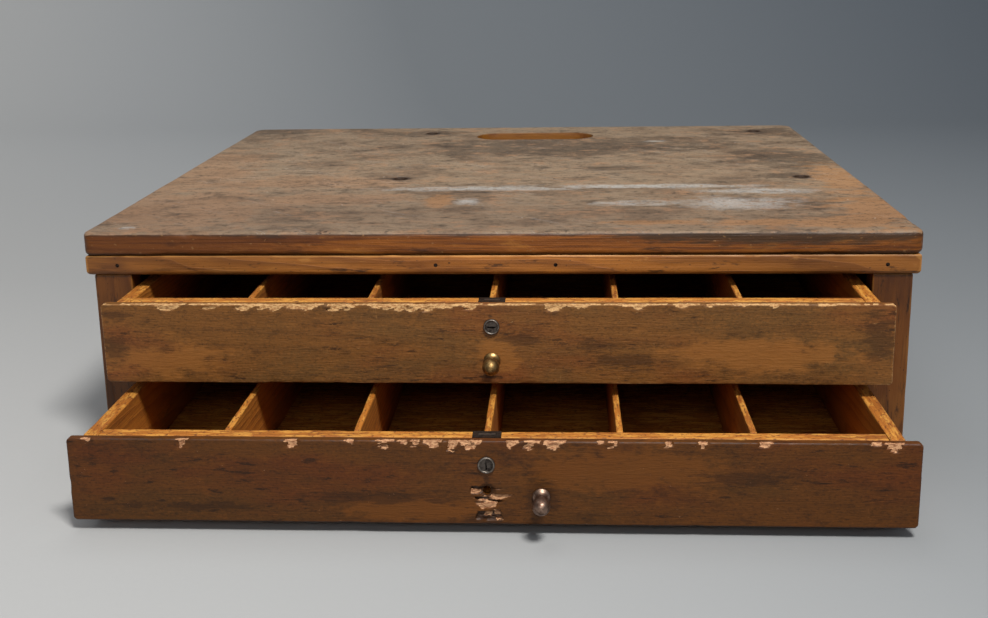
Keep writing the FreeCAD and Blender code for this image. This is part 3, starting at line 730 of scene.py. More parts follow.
def grid_shell(lines):
    """Points and outward quads of a box's surface that has these grid lines."""
    counts = [len(line) for line in lines]
    shell = np.zeros(counts, bool)
    shell[[0, -1]] = shell[:, [0, -1]] = shell[:, :, [0, -1]] = True
    index = np.full(counts, -1)
    index[shell] = np.arange(shell.sum())
    where = np.argwhere(shell)
    points = np.stack([lines[axis][where[:, axis]] for axis in range(3)], axis=1)
    quads = []
    for axis in range(3):
        for end in (0, -1):
            sheet = np.take(index, end, axis=axis)
            ring = [sheet[:-1, :-1], sheet[1:, :-1], sheet[1:, 1:], sheet[:-1, 1:]]
            quad = np.stack([corner.ravel() for corner in ring], axis=1)
            quads.append(quad[:, ::-1] if (end == 0) != (axis == 1) else quad)
    return points, np.concatenate(quads)


def rolled(points, half, radius, dent=0.0):
    """Box-surface points with arrises of that radius, pushed inward by dent."""
    radius = np.broadcast_to(np.asarray(radius, float), (len(points),))[:, None]
    core = np.clip(points, radius - half, half - radius)
    out = points - core
    outward = out / np.maximum(np.linalg.norm(out, axis=1, keepdims=True), 1e-9)
    return core + outward * (radius - np.broadcast_to(np.asarray(dent, float), (len(points),))[:, None])


def mesh_piece(name, points, faces):
    """A smooth-shaded mesh object in the scene, at the origin."""
    mesh = bpy.data.meshes.new(name)
    mesh.from_pydata(np.asarray(points).tolist(), [], [list(face) for face in faces])
    mesh.polygons.foreach_set("use_smooth", np.ones(len(mesh.polygons), bool))
    piece = bpy.data.objects.new(name, mesh)
    bpy.context.scene.collection.objects.link(piece)
    return piece


# %% [markdown]
# A board knows its box, the axis that its grain runs along, and a seed. Three values are kept at each of
# its points for the finish: the grain coordinates, how far the nearest arris is, and whether the point is
# on an upper edge. A finish reads them by name, so one recipe suits boards of every size.

# %% Boards


class Board:
    """Box and grain direction of one wooden board."""

    def __init__(self, node, grain_axis, seed):
        low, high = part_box(node)
        self.node = node
        self.seed = seed
        self.centre = (np.array(low) + np.array(high)) / 2
        self.half = (np.array(high) - np.array(low)) / 2
        self.along = "xyz".index(grain_axis)
        others = sorted((axis for axis in range(3) if axis != self.along), key=lambda axis: self.half[axis])
        self.thick, self.across = others

    def grain(self, places):
        order = [self.along, self.across, self.thick]
        shift = corner_values(np.array([[self.seed, axis, 7] for axis in range(3)]), 11) * (9.0, 0.05, 0.02)
        return (places - self.centre)[:, order] + shift


def set_value(mesh, name, values):
    """Stores one number or one vector for each point of a mesh."""
    kind, key = ("FLOAT_VECTOR", "vector") if np.ndim(values) == 2 else ("FLOAT", "value")
    layer = mesh.attributes.get(name) or mesh.attributes.new(name, kind, "POINT")
    layer.data.foreach_set(key, np.asarray(values, np.float32).ravel())


def mesh_places(mesh):
    places = np.empty(len(mesh.vertices) * 3)
    mesh.vertices.foreach_get("co", places)
    return places.reshape(-1, 3)


def mark_board(piece, board):
    """Writes the grain, rim and top edge values that the wood finishes read."""
    places = mesh_places(piece.data)
    inset = board.half - np.abs(places - board.centre)
    set_value(piece.data, "grain", board.grain(places))
    set_value(piece.data, "rim", np.sort(inset, axis=1)[:, 1])
    above = board.centre[2] + board.half[2] - places[:, 2]
    set_value(piece.data, "top_edge", np.clip(1 - above / 0.0025, 0, 1))


# %% [markdown]
# Holes are cut the way a joiner cuts them, after the board is planed: a knife, which is a closed solid of the
# hole's shape, is taken away by an exact boolean. A finished piece then gets its material and its body, and
# the designed nodes that it stands for are hidden.

# %% Cutting and finishing
CREASE = math.radians(38)


def cut_away(piece, *cutters):
    """Takes cutters out of a piece and removes them."""
    for cutter in cutters:
        knife = piece.modifiers.new("cut", "BOOLEAN")
        knife.operation = "DIFFERENCE"
        knife.solver = "EXACT"
        knife.object = cutter
    graph = bpy.context.evaluated_depsgraph_get()
    cut = bpy.data.meshes.new_from_object(piece.evaluated_get(graph))
    piece.modifiers.clear()
    piece.data = cut
    cut.set_sharp_from_angle(angle=CREASE)
    for cutter in cutters:
        bpy.data.objects.remove(cutter)


def finish_piece(piece, body, slot, material, *replaced):
    """Gives a piece its finish and its body, and hides the nodes that it stands for."""
    piece.data.materials.clear()
    piece.data.materials.append(material)
    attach(piece, body)
    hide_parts(*replaced)


# %% [markdown]
# A worn board is the box shell with its arrises rolled, its faces slightly uneven along the grain, and
# small bruises near its edges, where a board meets other things.

# %% Worn boards


def worn_board(board, step, edge, wear=0.00025, dents=0.0006):
    """A board with rolled arrises, a slightly uneven surface and small dents along its edges."""
    rim = edge * 1.6
    lines = [grid_lines(half, step, min(rim, half * 0.45)) for half in board.half]
    points, quads = grid_shell(lines)
    places = points + board.centre
    long_way = np.full(3, 0.02)
    long_way[board.along] = 0.09
    radius = edge * (0.5 + smooth_noise(places, long_way * 0.7, board.seed))
    radius = np.minimum(radius, board.half.min() * 0.45)
    inset = np.sort(board.half - np.abs(points), axis=1)[:, 1]
    near_edge = np.clip(1 - inset / (edge * 2.5), 0, 1)
    bruise = np.clip(smooth_noise(places, (0.014, 0.014, 0.014), board.seed + 5) - 0.62, 0, 1) / 0.38
    dent = wear * smooth_noise(places, long_way, board.seed + 9) + dents * near_edge * bruise
    shaped = rolled(points, board.half, radius, np.minimum(dent, radius * 0.6))
    return mesh_piece(board.node + "_wood", shaped + board.centre, quads)


# %% [markdown]
# A chest is mostly boards, so most of them come from a short table of names: the case first, then both
# drawer boxes. Boards that are hidden inside the case stay bare like the drawer boxes, and the stiles, which
# frame the drawers, are darkened with painted shade.

# %% Plain boards
CASE_BOARDS = [
    ("top_rail_front", "x"), ("top_rail_back", "x"), ("top_rail_left", "y"), ("top_rail_right", "y"),
    ("side_left", "y"), ("side_right", "y"), ("stile_left", "z"), ("stile_right", "z"),
    ("bottom_board", "x"), ("runner_left", "y"), ("runner_right", "y"),
    ("guide_upper_left", "y"), ("guide_upper_right", "y"),
    ("guide_lower_left", "y"), ("guide_lower_right", "y"),
]
BOX_BOARDS = [("box_side_left", "y"), ("box_side_right", "y"), ("box_back", "x"), ("box_bottom", "x")]
BOX_BOARDS += [(f"divider_{number}", "y") for number in range(1, 6)]
INSIDE_CASE = ("rail", "runner", "guide")
CASE_EDGE, BOX_EDGE = 0.0013, 0.0012
BOARD_STEP, INNER_FRONT_STEP, BACK_STEP = 0.006, 0.004, 0.007


def plain_board(node, grain_axis, seed, body, edge, slot, material):
    board = Board(node, grain_axis, seed)
    piece = worn_board(board, BOARD_STEP, edge)
    mark_board(piece, board)
    finish_piece(piece, body, slot, material, node)


for seed, (node, grain_axis) in enumerate(CASE_BOARDS, start=10):
    inside = any(word in node for word in INSIDE_CASE)
    material = raw_pine if inside else case_shaded if "stile" in node else case_pine
    plain_board(node, grain_axis, seed, "case", CASE_EDGE, "case_pine", material)
for start, drawer in ((40, "upper"), (60, "lower")):
    for seed, (part, grain_axis) in enumerate(BOX_BOARDS, start=start):
        plain_board(f"{drawer}_{part}", grain_axis, seed, f"{drawer}_drawer", BOX_EDGE, "raw_pine", raw_pine)
print("plain boards:", len(CASE_BOARDS) + 2 * len(BOX_BOARDS))

# %% [markdown]
# Two kinds of knife are enough. A box cuts the seat of a lock. A turned solid, made the way a lathe makes
# one by carrying a profile round an axis, cuts round holes, and stretched sideways it cuts a slot with
# round ends. The knobs and lock housings are made by the same turning later.

# %% Knives for holes


def box_knife(name, low, high):
    """Closed box between two corners, used to cut with."""
    xs, ys, zs = zip(low, high)
    corners = [(x, y, z) for x in xs for y in ys for z in zs]
    faces = [(0, 1, 3, 2), (4, 6, 7, 5), (0, 4, 5, 1), (2, 3, 7, 6), (0, 2, 6, 4), (1, 5, 7, 3)]
    return mesh_piece(name, corners, faces)


def frame_on(axis):
    """Two directions square to an axis."""
    axis = np.asarray(axis, float) / np.linalg.norm(axis)
    side = np.cross(axis, (0, 0, 1) if abs(axis[2]) < 0.9 else (0, 1, 0))
    side = side / np.linalg.norm(side)
    return axis, side, np.cross(axis, side)


def turned(name, profile, base, axis, sides=40, half_length=0.0):
    """A lathe-turned solid. Profile rows are (height, radius); a radius of 0 closes an end with a point.
    A half length stretches it sideways, for a slot with round ends."""
    axis, side, other = frame_on(axis)
    angles = np.linspace(0, 2 * math.pi, sides, endpoint=False) + 1e-4
    points, rings, faces = [], [], []
    for height, radius in profile:
        centre = np.asarray(base, float) + axis * height
        if radius == 0:
            rings.append([len(points)])
            points.append(centre)
            continue
        rings.append(list(range(len(points), len(points) + sides)))
        for angle in angles:
            reach = radius * math.cos(angle) + math.copysign(half_length, math.cos(angle))
            points.append(centre + side * reach + other * radius * math.sin(angle))
    for low, high in zip(rings, rings[1:]):
        for step in range(sides):
            after = (step + 1) % sides
            below = [low[step % len(low)], low[after % len(low)]]
            above = [high[after % len(high)], high[step % len(high)]]
            faces.append(list(dict.fromkeys(below + above)))
    if profile[0][1] > 0 and profile[0] != profile[-1]:
        faces.append(rings[0][::-1])
        faces.append(rings[-1])
    return mesh_piece(name, points, faces)


# %% [markdown]
# The inner fronts: a plain board with the lock let in from behind and from above, the hole for the lock's
# cylinder and, in the lower drawer, the hole that an earlier knob left. The seat is a little wider than the
# lock, as a chiselled one is.

# %% Inner fronts
DRAWER_MIDDLE = (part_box("upper_lock_cylinder")[0].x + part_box("upper_lock_cylinder")[1].x) / 2
OLD_KNOB_HEIGHT, OLD_KNOB_RADIUS = 0.033, 0.003
INNER_BORE = 0.0062
SEAT_GAP = 0.0002
SEAT_HALF_WIDTH = 0.010 + SEAT_GAP
SELVEDGE, SELVEDGE_LIP, BACK_PLATE, BACK_PLATE_DROP = 0.0012, 0.001, 0.001, 0.003
KNIFE_PAST = 0.002


def lock_knives(drawer):
    """Knives for the lock's seat: its case, its top plate and its back plate, and its cylinder's hole."""
    low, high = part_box(f"{drawer}_lock_case")
    hole_low, hole_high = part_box(f"{drawer}_lock_cylinder")
    left, right = DRAWER_MIDDLE - SEAT_HALF_WIDTH, DRAWER_MIDDLE + SEAT_HALF_WIDTH
    ahead, back = low.y - KNIFE_PAST, high.y + KNIFE_PAST
    under, above = low.z - SEAT_GAP, high.z + KNIFE_PAST
    bore = (DRAWER_MIDDLE, low.y - 0.004, (hole_low.z + hole_high.z) / 2)
    return [
        box_knife("case_knife", (left, low.y + SELVEDGE_LIP - SEAT_GAP, under), (right, back, above)),
        box_knife("top_knife", (left, ahead, high.z - SELVEDGE - SEAT_GAP), (right, back, above)),
        box_knife("back_knife", (low.x - SEAT_GAP, high.y - BACK_PLATE - SEAT_GAP, under),
                  (high.x + SEAT_GAP, back, high.z - BACK_PLATE_DROP + SEAT_GAP)),
        turned("bore_knife", [(0, INNER_BORE), (0.012, INNER_BORE)], bore, (0, 1, 0)),
    ]


for seed, drawer in ((81, "upper"), (82, "lower")):
    board = Board(f"{drawer}_box_front", "x", seed)
    piece = worn_board(board, INNER_FRONT_STEP, BOX_EDGE)
    knives = lock_knives(drawer)
    if drawer == "lower":
        old = (DRAWER_MIDDLE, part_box("lower_lock_case")[0].y - KNIFE_PAST, OLD_KNOB_HEIGHT)
        knives.append(turned("old_knife", [(0, OLD_KNOB_RADIUS), (0.016, OLD_KNOB_RADIUS)], old, (0, 1, 0)))
    cut_away(piece, *knives)
    mark_board(piece, board)
    finish_piece(piece, f"{drawer}_drawer", "raw_pine", raw_pine, f"{drawer}_box_front")
    print(piece.name, len(piece.data.polygons), "faces")

# %% [markdown]
# The top board is a box with round corners in plan and a rolled rim. Its plan corners are made by the
# rolling idea in two dimensions, and its rim by the same idea on the section, with a radius that varies
# along the edge. Small nicks and a gentle unevenness only ever take wood away.

# %% Top board
TOP_FRONT_CORNER, TOP_BACK_CORNER = 0.008, 0.014
TOP_STEP, TOP_EDGE_STEP = 0.0042, 0.0012
TOP_RIM, TOP_EDGE_RIM = 0.0062, 0.0055


def plan_rounded(points, half):
    """Rounds the four upright corners of a box's surface points."""
    shaped = points.copy()
    corner = np.where(points[:, 1] < 0, TOP_FRONT_CORNER, TOP_BACK_CORNER)[:, None]
    core = np.clip(points[:, :2], corner - half[:2], half[:2] - corner)
    out = points[:, :2] - core
    reach = np.linalg.norm(out, axis=1, keepdims=True)
    scale = np.abs(out).max(axis=1, keepdims=True) / np.maximum(reach, 1e-9)
    shaped[:, :2] = core + out * scale
    outward = out / np.maximum(reach, 1e-9)
    return shaped, outward


def top_board_piece(board):
    lines = [grid_lines(half, TOP_STEP, TOP_RIM) for half in board.half[:2]]
    lines.append(grid_lines(board.half[2], TOP_EDGE_STEP, TOP_EDGE_RIM))
    points, quads = grid_shell(lines)
    places = points + board.centre
    inset = (board.half - np.abs(points))[:, :2].min(axis=1)
    shaped, outward = plan_rounded(points, board.half)
    radius = 0.0030 + 0.0022 * smooth_noise(places, (0.05, 0.05, 0.05), 21)
    level = board.half[2] - np.abs(points[:, 2])
    in_rim = (inset < radius) & (level < radius)
    side_step = np.where(in_rim, radius - inset, 0)
    up_step = np.where(in_rim, radius - level, 0)
    length = np.maximum(np.hypot(side_step, up_step), 1e-9)
    scale = np.where(in_rim, radius / length, 0)
    new_inset = np.where(in_rim, radius - side_step * scale, inset)
    new_level = np.where(in_rim, radius - up_step * scale, level)
    nick = np.clip(smooth_noise(places, (0.016, 0.016, 0.012), 33) - 0.66, 0, 1) * 0.005
    nick = nick * np.clip(1 - np.hypot(inset, level) / 0.008, 0, 1)
    shaped[:, :2] -= outward * (new_inset - inset + nick)[:, None]
    sink = 0.00045 * smooth_noise(places, (0.16, 0.03, 0.03), 41) * np.clip(inset / 0.01, 0, 1)
    shaped[:, 2] = np.sign(points[:, 2]) * (board.half[2] - new_level - sink - nick)
    return mesh_piece("top_board_wood", shaped + board.centre, quads)


top = Board("top_board", "x", 3)
top_piece = top_board_piece(top)
print("top board before cutting:", len(top_piece.data.polygons), "faces")

# %% [markdown]
# The hand slot and the four bolt holes are cut with knives whose rims are eased, as use has rounded them.
# Then the finish gets its values: how near the edge and a hole each point is, and which points are the
# slot's wall.

# %% Slot and bolt holes
SLOT_CENTRE, SLOT_RADIUS, SLOT_HALF = (0.02, 0.209), 0.026, 0.041
BOLT_HOLES = [(x, y) for x in (-0.102, 0.275) for y in (-0.0575, 0.232)]
BOLT_HOLE_RADIUS = 0.0065
TOP_THICKNESS = 0.019
SLOT_EASE, BOLT_HOLE_EASE = 0.0016, 0.0008
WALL_REACH = 0.0008


def hole_knife(name, place, axis, depth, radius, ease, half_length=0.0):
    """Knife for a round hole whose two rims are eased."""
    wide = radius + ease
    profile = [
        (-0.001, wide + 0.001),
        (0.0, wide),
        (ease * 0.3, radius + ease * 0.3),
        (ease, radius),
        (depth - ease, radius),
        (depth - ease * 0.3, radius + ease * 0.3),
        (depth, wide),
        (depth + 0.001, wide + 0.001),
    ]
    return turned(name, profile, place, axis, 48, half_length)


underside = top.centre[2] - top.half[2]
upward = ((0, 0, 1), TOP_THICKNESS)
knives = [hole_knife("slot", (*SLOT_CENTRE, underside), *upward, SLOT_RADIUS, SLOT_EASE, SLOT_HALF)]
for number, at in enumerate(BOLT_HOLES):
    knives.append(hole_knife(f"hole{number}", (*at, underside), *upward, BOLT_HOLE_RADIUS, BOLT_HOLE_EASE))
cut_away(top_piece, *knives)
places = mesh_places(top_piece.data)
edge_inset = (top.half - np.abs(places - top.centre))[:, :2].min(axis=1)
below = top.centre[2] + top.half[2] - places[:, 2]
slot_reach = (SLOT_HALF + SLOT_RADIUS + WALL_REACH, SLOT_RADIUS + WALL_REACH)
in_slot = (np.abs(places[:, :2] - SLOT_CENTRE) < slot_reach).all(axis=1)
to_hole = np.min([np.hypot(*(places[:, :2] - at).T) for at in BOLT_HOLES], axis=0)
top_values = {
    "grain": top.grain(places),
    "flank": np.clip(1 - edge_inset / 0.005, 0, 1) * np.clip(below / 0.0035, 0, 1),
    "rim": np.hypot(edge_inset, below),
    "hole": np.clip(1.5 - to_hole / 0.0085, 0, 1),
    "bore": in_slot * np.clip(below / 0.001 - 0.3, 0, 1),
}
for name, values in top_values.items():
    set_value(top_piece.data, name, values)
finish_piece(top_piece, "case", "weathered_top", top_finish, "top_board")
print("top board:", len(top_piece.data.polygons), "faces,", int(in_slot.sum()), "points in the slot")

# %% [markdown]
# The moulding is a long section with a small round above and a larger one below, as a moulding plane leaves
# it. The section is drawn once, as depth and height.

# %% Moulding section
MOULDING_DEPTH = 0.010
UPPER_ROUND, LOWER_ROUND = 0.0015, 0.004


def moulding_section(height):
    """Depth and height of the section's outline, from the inner top corner round the outside."""
    outline = [(MOULDING_DEPTH, height), (MOULDING_DEPTH * 0.6, height)]
    for turn in np.linspace(90, 0, 5):
        angle = math.radians(turn)
        outline.append((UPPER_ROUND * (1 - math.cos(angle)), height - UPPER_ROUND * (1 - math.sin(angle))))
    outline += [(0, height * share) for share in (0.72, 0.5, 0.38)]
    for turn in np.linspace(0, 90, 8):
        angle = math.radians(turn)
        outline.append((LOWER_ROUND * (1 - math.cos(angle)), LOWER_ROUND * (1 - math.sin(angle))))
    return outline + [(MOULDING_DEPTH * 0.75, 0), (MOULDING_DEPTH, 0)]


strip_low, strip_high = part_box("moulding_front")
print("moulding section:", len(moulding_section(strip_high.z - strip_low.z)), "points")

# %% [markdown]
# The section is carried along each strip. At a mitre the strip gets shorter as it gets deeper, which gives
# the 45 degree cut without cutting anything. Dents are pushed into the outer face only.

# %% Moulding strips
STRIP_STEP = 0.005
STRIP_CREASE = math.radians(50)


def moulding_strip(node, grain_axis, outward, mitres, seed):
    """One strip: outward is the direction that it faces, mitres say which ends are cut at 45 degrees."""
    board = Board(node, grain_axis, seed)
    low, high = board.centre - board.half, board.centre + board.half
    face_axis = 0 if grain_axis == "y" else 1
    section = moulding_section(high[2] - low[2])
    count = int((high - low)[board.along] / STRIP_STEP)
    points = []
    for share in np.linspace(0, 1, count + 1):
        for deep, tall in section:
            start = low[board.along] + (deep if mitres[0] else 0)
            end = high[board.along] - (deep if mitres[1] else 0)
            place = [0.0, 0.0, low[2] + tall]
            place[board.along] = start + (end - start) * share
            place[face_axis] = high[face_axis] - deep if outward > 0 else low[face_axis] + deep
            points.append(place)
    points = np.array(points)
    size = len(section)
    faces = []
    for ring in range(count):
        for step in range(size):
            a, b = ring * size + step, ring * size + (step + 1) % size
            faces.append((a, b, b + size, a + size))
    faces += [tuple(range(size))[::-1], tuple(range(count * size, count * size + size))]
    if (outward > 0) != (grain_axis == "y"):
        faces = [face[::-1] for face in faces]
    dent = 0.0007 * np.clip(smooth_noise(points, (0.02, 0.02, 0.012), seed) - 0.45, 0, 1)
    dent += 0.0025 * np.clip(smooth_noise(points, (0.012, 0.012, 0.008), seed + 3) - 0.72, 0, 1)
    depth = high[face_axis] - points[:, face_axis] if outward > 0 else points[:, face_axis] - low[face_axis]
    points[:, face_axis] -= outward * dent * np.clip(1 - depth / 0.005, 0, 1)
    piece = mesh_piece(node + "_wood", points, faces)
    piece.data.set_sharp_from_angle(angle=STRIP_CREASE)
    return board, piece


# %% [markdown]
# The strips and the back board are nailed on, and every nail head sits in a small mouth. All the mouths of
# one board are cut by one knife, because one exact boolean is quicker than many.

# %% Strips with their nail mouths
MOUTH_PROFILE = [(-0.001, 0.0016), (0.0014, 0.0016)]


def nail_mouths(places, axis):
    """One knife with a short cylinder for each nail head."""
    rings = [turned(f"mouth{i}", MOUTH_PROFILE, at, axis, 14) for i, at in enumerate(places)]
    points = np.concatenate([mesh_places(ring.data) for ring in rings])
    faces, start = [], 0
    for ring in rings:
        faces += [[start + corner for corner in face.vertices] for face in ring.data.polygons]
        start += len(ring.data.vertices)
        bpy.data.objects.remove(ring)
    return mesh_piece("mouths", points, faces)


NAIL_LEVEL = (strip_low.z + strip_high.z) / 2
FRONT_NAILS = [(x, strip_low.y, NAIL_LEVEL) for x in (-0.2985, -0.0465, 0.0465, 0.2985)]
SIDE_NAIL_ROWS = (-0.2535, 0.0, 0.2505)
BACK_FACE = 0.2755
side_outer = strip_high.x
back_spots = [(x, BACK_FACE, z) for x in (-0.3115, 0.3115) for z in (0.035, 0.0825, 0.13)]
NAILS = {
    "moulding_front": (FRONT_NAILS, (0, 1, 0)),
    "moulding_left": ([(-side_outer, y, NAIL_LEVEL) for y in SIDE_NAIL_ROWS], (1, 0, 0)),
    "moulding_right": ([(side_outer, y, NAIL_LEVEL) for y in SIDE_NAIL_ROWS], (-1, 0, 0)),
    "back_board": (back_spots, (0, -1, 0)),
}
STRIPS = [
    ("moulding_front", "x", -1, (True, True), 91),
    ("moulding_left", "y", -1, (True, False), 92),
    ("moulding_right", "y", 1, (True, False), 93),
]
for node, grain_axis, outward, mitres, seed in STRIPS:
    board, piece = moulding_strip(node, grain_axis, outward, mitres, seed)
    cut_away(piece, nail_mouths(*NAILS[node]))
    mark_board(piece, board)
    finish_piece(piece, "case", "case_pine", case_painted_light, node)
    print(piece.name, len(piece.data.polygons), "faces")

back = Board("back_board", "x", 94)
back_piece = worn_board(back, BACK_STEP, CASE_EDGE)
cut_away(back_piece, nail_mouths(*NAILS["back_board"]))
mark_board(back_piece, back)
finish_piece(back_piece, "case", "case_pine", case_pine, "back_board")
print(back_piece.name, len(back_piece.data.polygons), "faces")

# %% [markdown]
# The front boards carry the most telling wear. Chips along the upper edge are listed, each with a
# middle, a half width and a depth, and a ragged noise frays them. A chip both pushes the surface in and
# sets the chip value that the stain recipe turns into bare wood.

# %% Chips along the upper edges
UPPER_CHIPS = [
    (-0.246, 0.012, 0.0042), (-0.213, 0.009, 0.0040), (-0.188, 0.013, 0.0036), (-0.166, 0.012, 0.0040),
    (-0.143, 0.015, 0.0044), (-0.118, 0.008, 0.0042), (-0.106, 0.006, 0.0032), (-0.075, 0.018, 0.0042),
    (-0.052, 0.014, 0.0050), (-0.030, 0.012, 0.0044), (-0.018, 0.008, 0.0050), (0.046, 0.009, 0.0044),
    (0.066, 0.008, 0.0028), (0.100, 0.006, 0.0026), (0.110, 0.004, 0.0034), (0.140, 0.008, 0.0026),
    (0.160, 0.004, 0.0032), (0.182, 0.008, 0.0024), (0.208, 0.003, 0.0028), (0.245, 0.010, 0.0014),
]
LOWER_CHIPS = [
    (-0.284, 0.004, 0.0036), (-0.215, 0.0045, 0.0050), (-0.136, 0.0045, 0.0052), (-0.096, 0.003, 0.0034),
    (-0.071, 0.005, 0.0052), (-0.058, 0.0022, 0.0040), (-0.051, 0.0032, 0.0054), (-0.038, 0.007, 0.0050),
    (-0.024, 0.003, 0.0066), (-0.012, 0.008, 0.0060), (0.017, 0.0036, 0.0042), (0.030, 0.006, 0.0046),
    (0.045, 0.007, 0.0054), (0.078, 0.0025, 0.0022), (0.086, 0.0036, 0.0042), (0.124, 0.0034, 0.0060),
    (0.147, 0.0038, 0.0044), (0.189, 0.003, 0.0052), (0.264, 0.003, 0.0026), (0.276, 0.0055, 0.0070),
]


def chip_depth(places, chips, ragged, everywhere):
    """How far down from the upper edge bare wood shows at each point."""
    along = places[:, 0] + 0.009 * (ragged - 0.5)
    depth = np.zeros(len(places))
    for middle, half_width, reach in chips:
        bulge = np.clip(1.15 - np.abs((along - middle) / half_width) ** 1.6, 0, 1)
        depth = np.maximum(depth, reach * bulge)
    return np.maximum(depth, everywhere) * np.clip(2.6 * ragged - 0.35, 0.1, 1.5)


print("chips:", len(UPPER_CHIPS), "upper,", len(LOWER_CHIPS), "lower")

# %% [markdown]
# The lower board also has a torn hole, where an earlier knob was pulled out. Splinters lifted along the
# grain round it, so the tear is drawn as a few pale and dark shards with ragged outlines, and crumbs below.
# Corners are in millimetres from the hole.

# %% Torn hole


def shard(across, up, corners, ragged):
    """1 inside a three or four cornered shard, given in millimetres, with a ragged outline."""
    inside = np.full(len(across), 9.0)
    for (x0, z0), (x1, z1) in zip(corners, corners[1:] + corners[:1]):
        length = math.hypot(x1 - x0, z1 - z0)
        inside = np.minimum(inside, ((x1 - x0) * (up - z0) - (z1 - z0) * (across - x0)) / length)
    return np.clip((inside + 2.4 * (ragged - 0.5)) / 0.5 + 0.5, 0, 1)


PALE_SHARDS = [
    [(-11.5, -1.2), (-4.0, -1.6), (-3.6, 1.4), (-11.0, 2.2)],
    [(2.0, -5.2), (10.0, -5.6), (18.8, -2.0), (3.4, -1.6)],
    [(-8.5, -8.0), (-4.0, -13.0), (6.0, -11.0), (8.6, -6.6)],
    [(-9.4, -4.2), (-5.0, -7.2), (9.0, -6.2), (-2.0, -3.4)],
]
DARK_SHARDS = [
    [(-11.0, 2.4), (-1.0, 1.6), (8.2, 2.6), (-10.6, 4.6)],
    [(-8.0, -5.4), (8.4, -7.8), (12.0, -6.6), (-8.4, -4.0)],
    [(-8.4, -20.6), (10.6, -21.4), (9.0, -14.0), (-7.0, -15.0)],
]
CRUMBS = [
    [(5.2, -17.6), (10.6, -17.2), (8.4, -13.6), (5.0, -13.4)],
    [(-2.2, -18.2), (3.0, -18.8), (3.6, -15.0), (-1.6, -15.4)],
    [(6.0, -21.2), (10.8, -21.0), (10.2, -18.8), (6.6, -19.4)],
]


def torn_hole(places, centre):
    """Depth of the torn wood round the old knob hole, how bare it is and how dirty, at each point."""
    offset = (places - centre) * 1000
    across, up = offset[:, 0], offset[:, 2]
    splinter = smooth_noise(places, (0.012, 1, 0.0016), 61, 3)
    fine = smooth_noise(places, (0.003, 1, 0.0014), 63, 2)
    pale = np.maximum.reduce([shard(across, up, corners, splinter) for corners in PALE_SHARDS])
    dark = np.maximum.reduce([shard(across, up, corners, splinter) for corners in DARK_SHARDS])
    crumbs = np.maximum.reduce([shard(across, up, corners, fine) for corners in CRUMBS])
    mouth = np.clip(1.5 - np.hypot(across / 4.4, (up - 0.4) / 4.0), 0, 1)
    depth = pale * (0.0004 + 0.0014 * splinter) + dark * (0.0009 + 0.0014 * fine) + mouth * 0.003
    depth += crumbs * 0.0004
    bare = np.maximum(pale * (1 - dark) * (0.55 + 0.6 * fine), crumbs) * (1 - mouth)
    dirt = np.clip(np.maximum(dark * (1 - crumbs), mouth), 0, 1)
    return depth, bare, dirt


print("shards and crumbs:", len(PALE_SHARDS) + len(DARK_SHARDS) + len(CRUMBS))

# %% [markdown]
# A front board is a box shell like the others, with a finer grid where it is chipped and torn. Its corners
# are slightly rounded from the front, and all its wear goes inward, so the board stays inside its designed
# size.

# %% Front board shape
FRONT_STEP, FRONT_RIM = 0.0022, 0.003
FRONT_CORNER = 0.0032
CHIP_GRID, TORN_GRID = 0.0007, 0.0005


def refined(lines, low, high, step):
    """Grid lines with finer ones between two limits."""
    keep = lines[(lines < low - step * 0.6) | (lines > high + step * 0.6)]
    return np.sort(np.concatenate([keep, np.arange(low, high + step * 0.5, step)]))


def front_grid(half, torn):
    """Grid lines of a front board, finer along its upper edge and round a torn hole."""
    across = grid_lines(half[0], FRONT_STEP, FRONT_RIM)
    deep = grid_lines(half[1], 0.002, 0.0016)
    upright = grid_lines(half[2], FRONT_STEP, FRONT_RIM)
    upright = refined(upright, half[2] - 0.0085, half[2] - 0.0006, CHIP_GRID)
    if torn:
        across = refined(across, -0.016, 0.021, TORN_GRID)
        upright = refined(upright, -0.0285, -0.001, TORN_GRID)
    return [across, deep, upright]


def corner_pull(points, half):
    """Step in x and z that rounds the four corners seen from the front."""
    flat, flat_half = points[:, [0, 2]], half[[0, 2]]
    out = flat - np.clip(flat, FRONT_CORNER - flat_half, flat_half - FRONT_CORNER)
    length = np.maximum(np.linalg.norm(out, axis=1, keepdims=True), 1e-9)
    in_corner = (np.abs(out) > 0).all(axis=1)[:, None]
    return np.where(in_corner, out * (np.abs(out).max(axis=1, keepdims=True) / length - 1), 0)


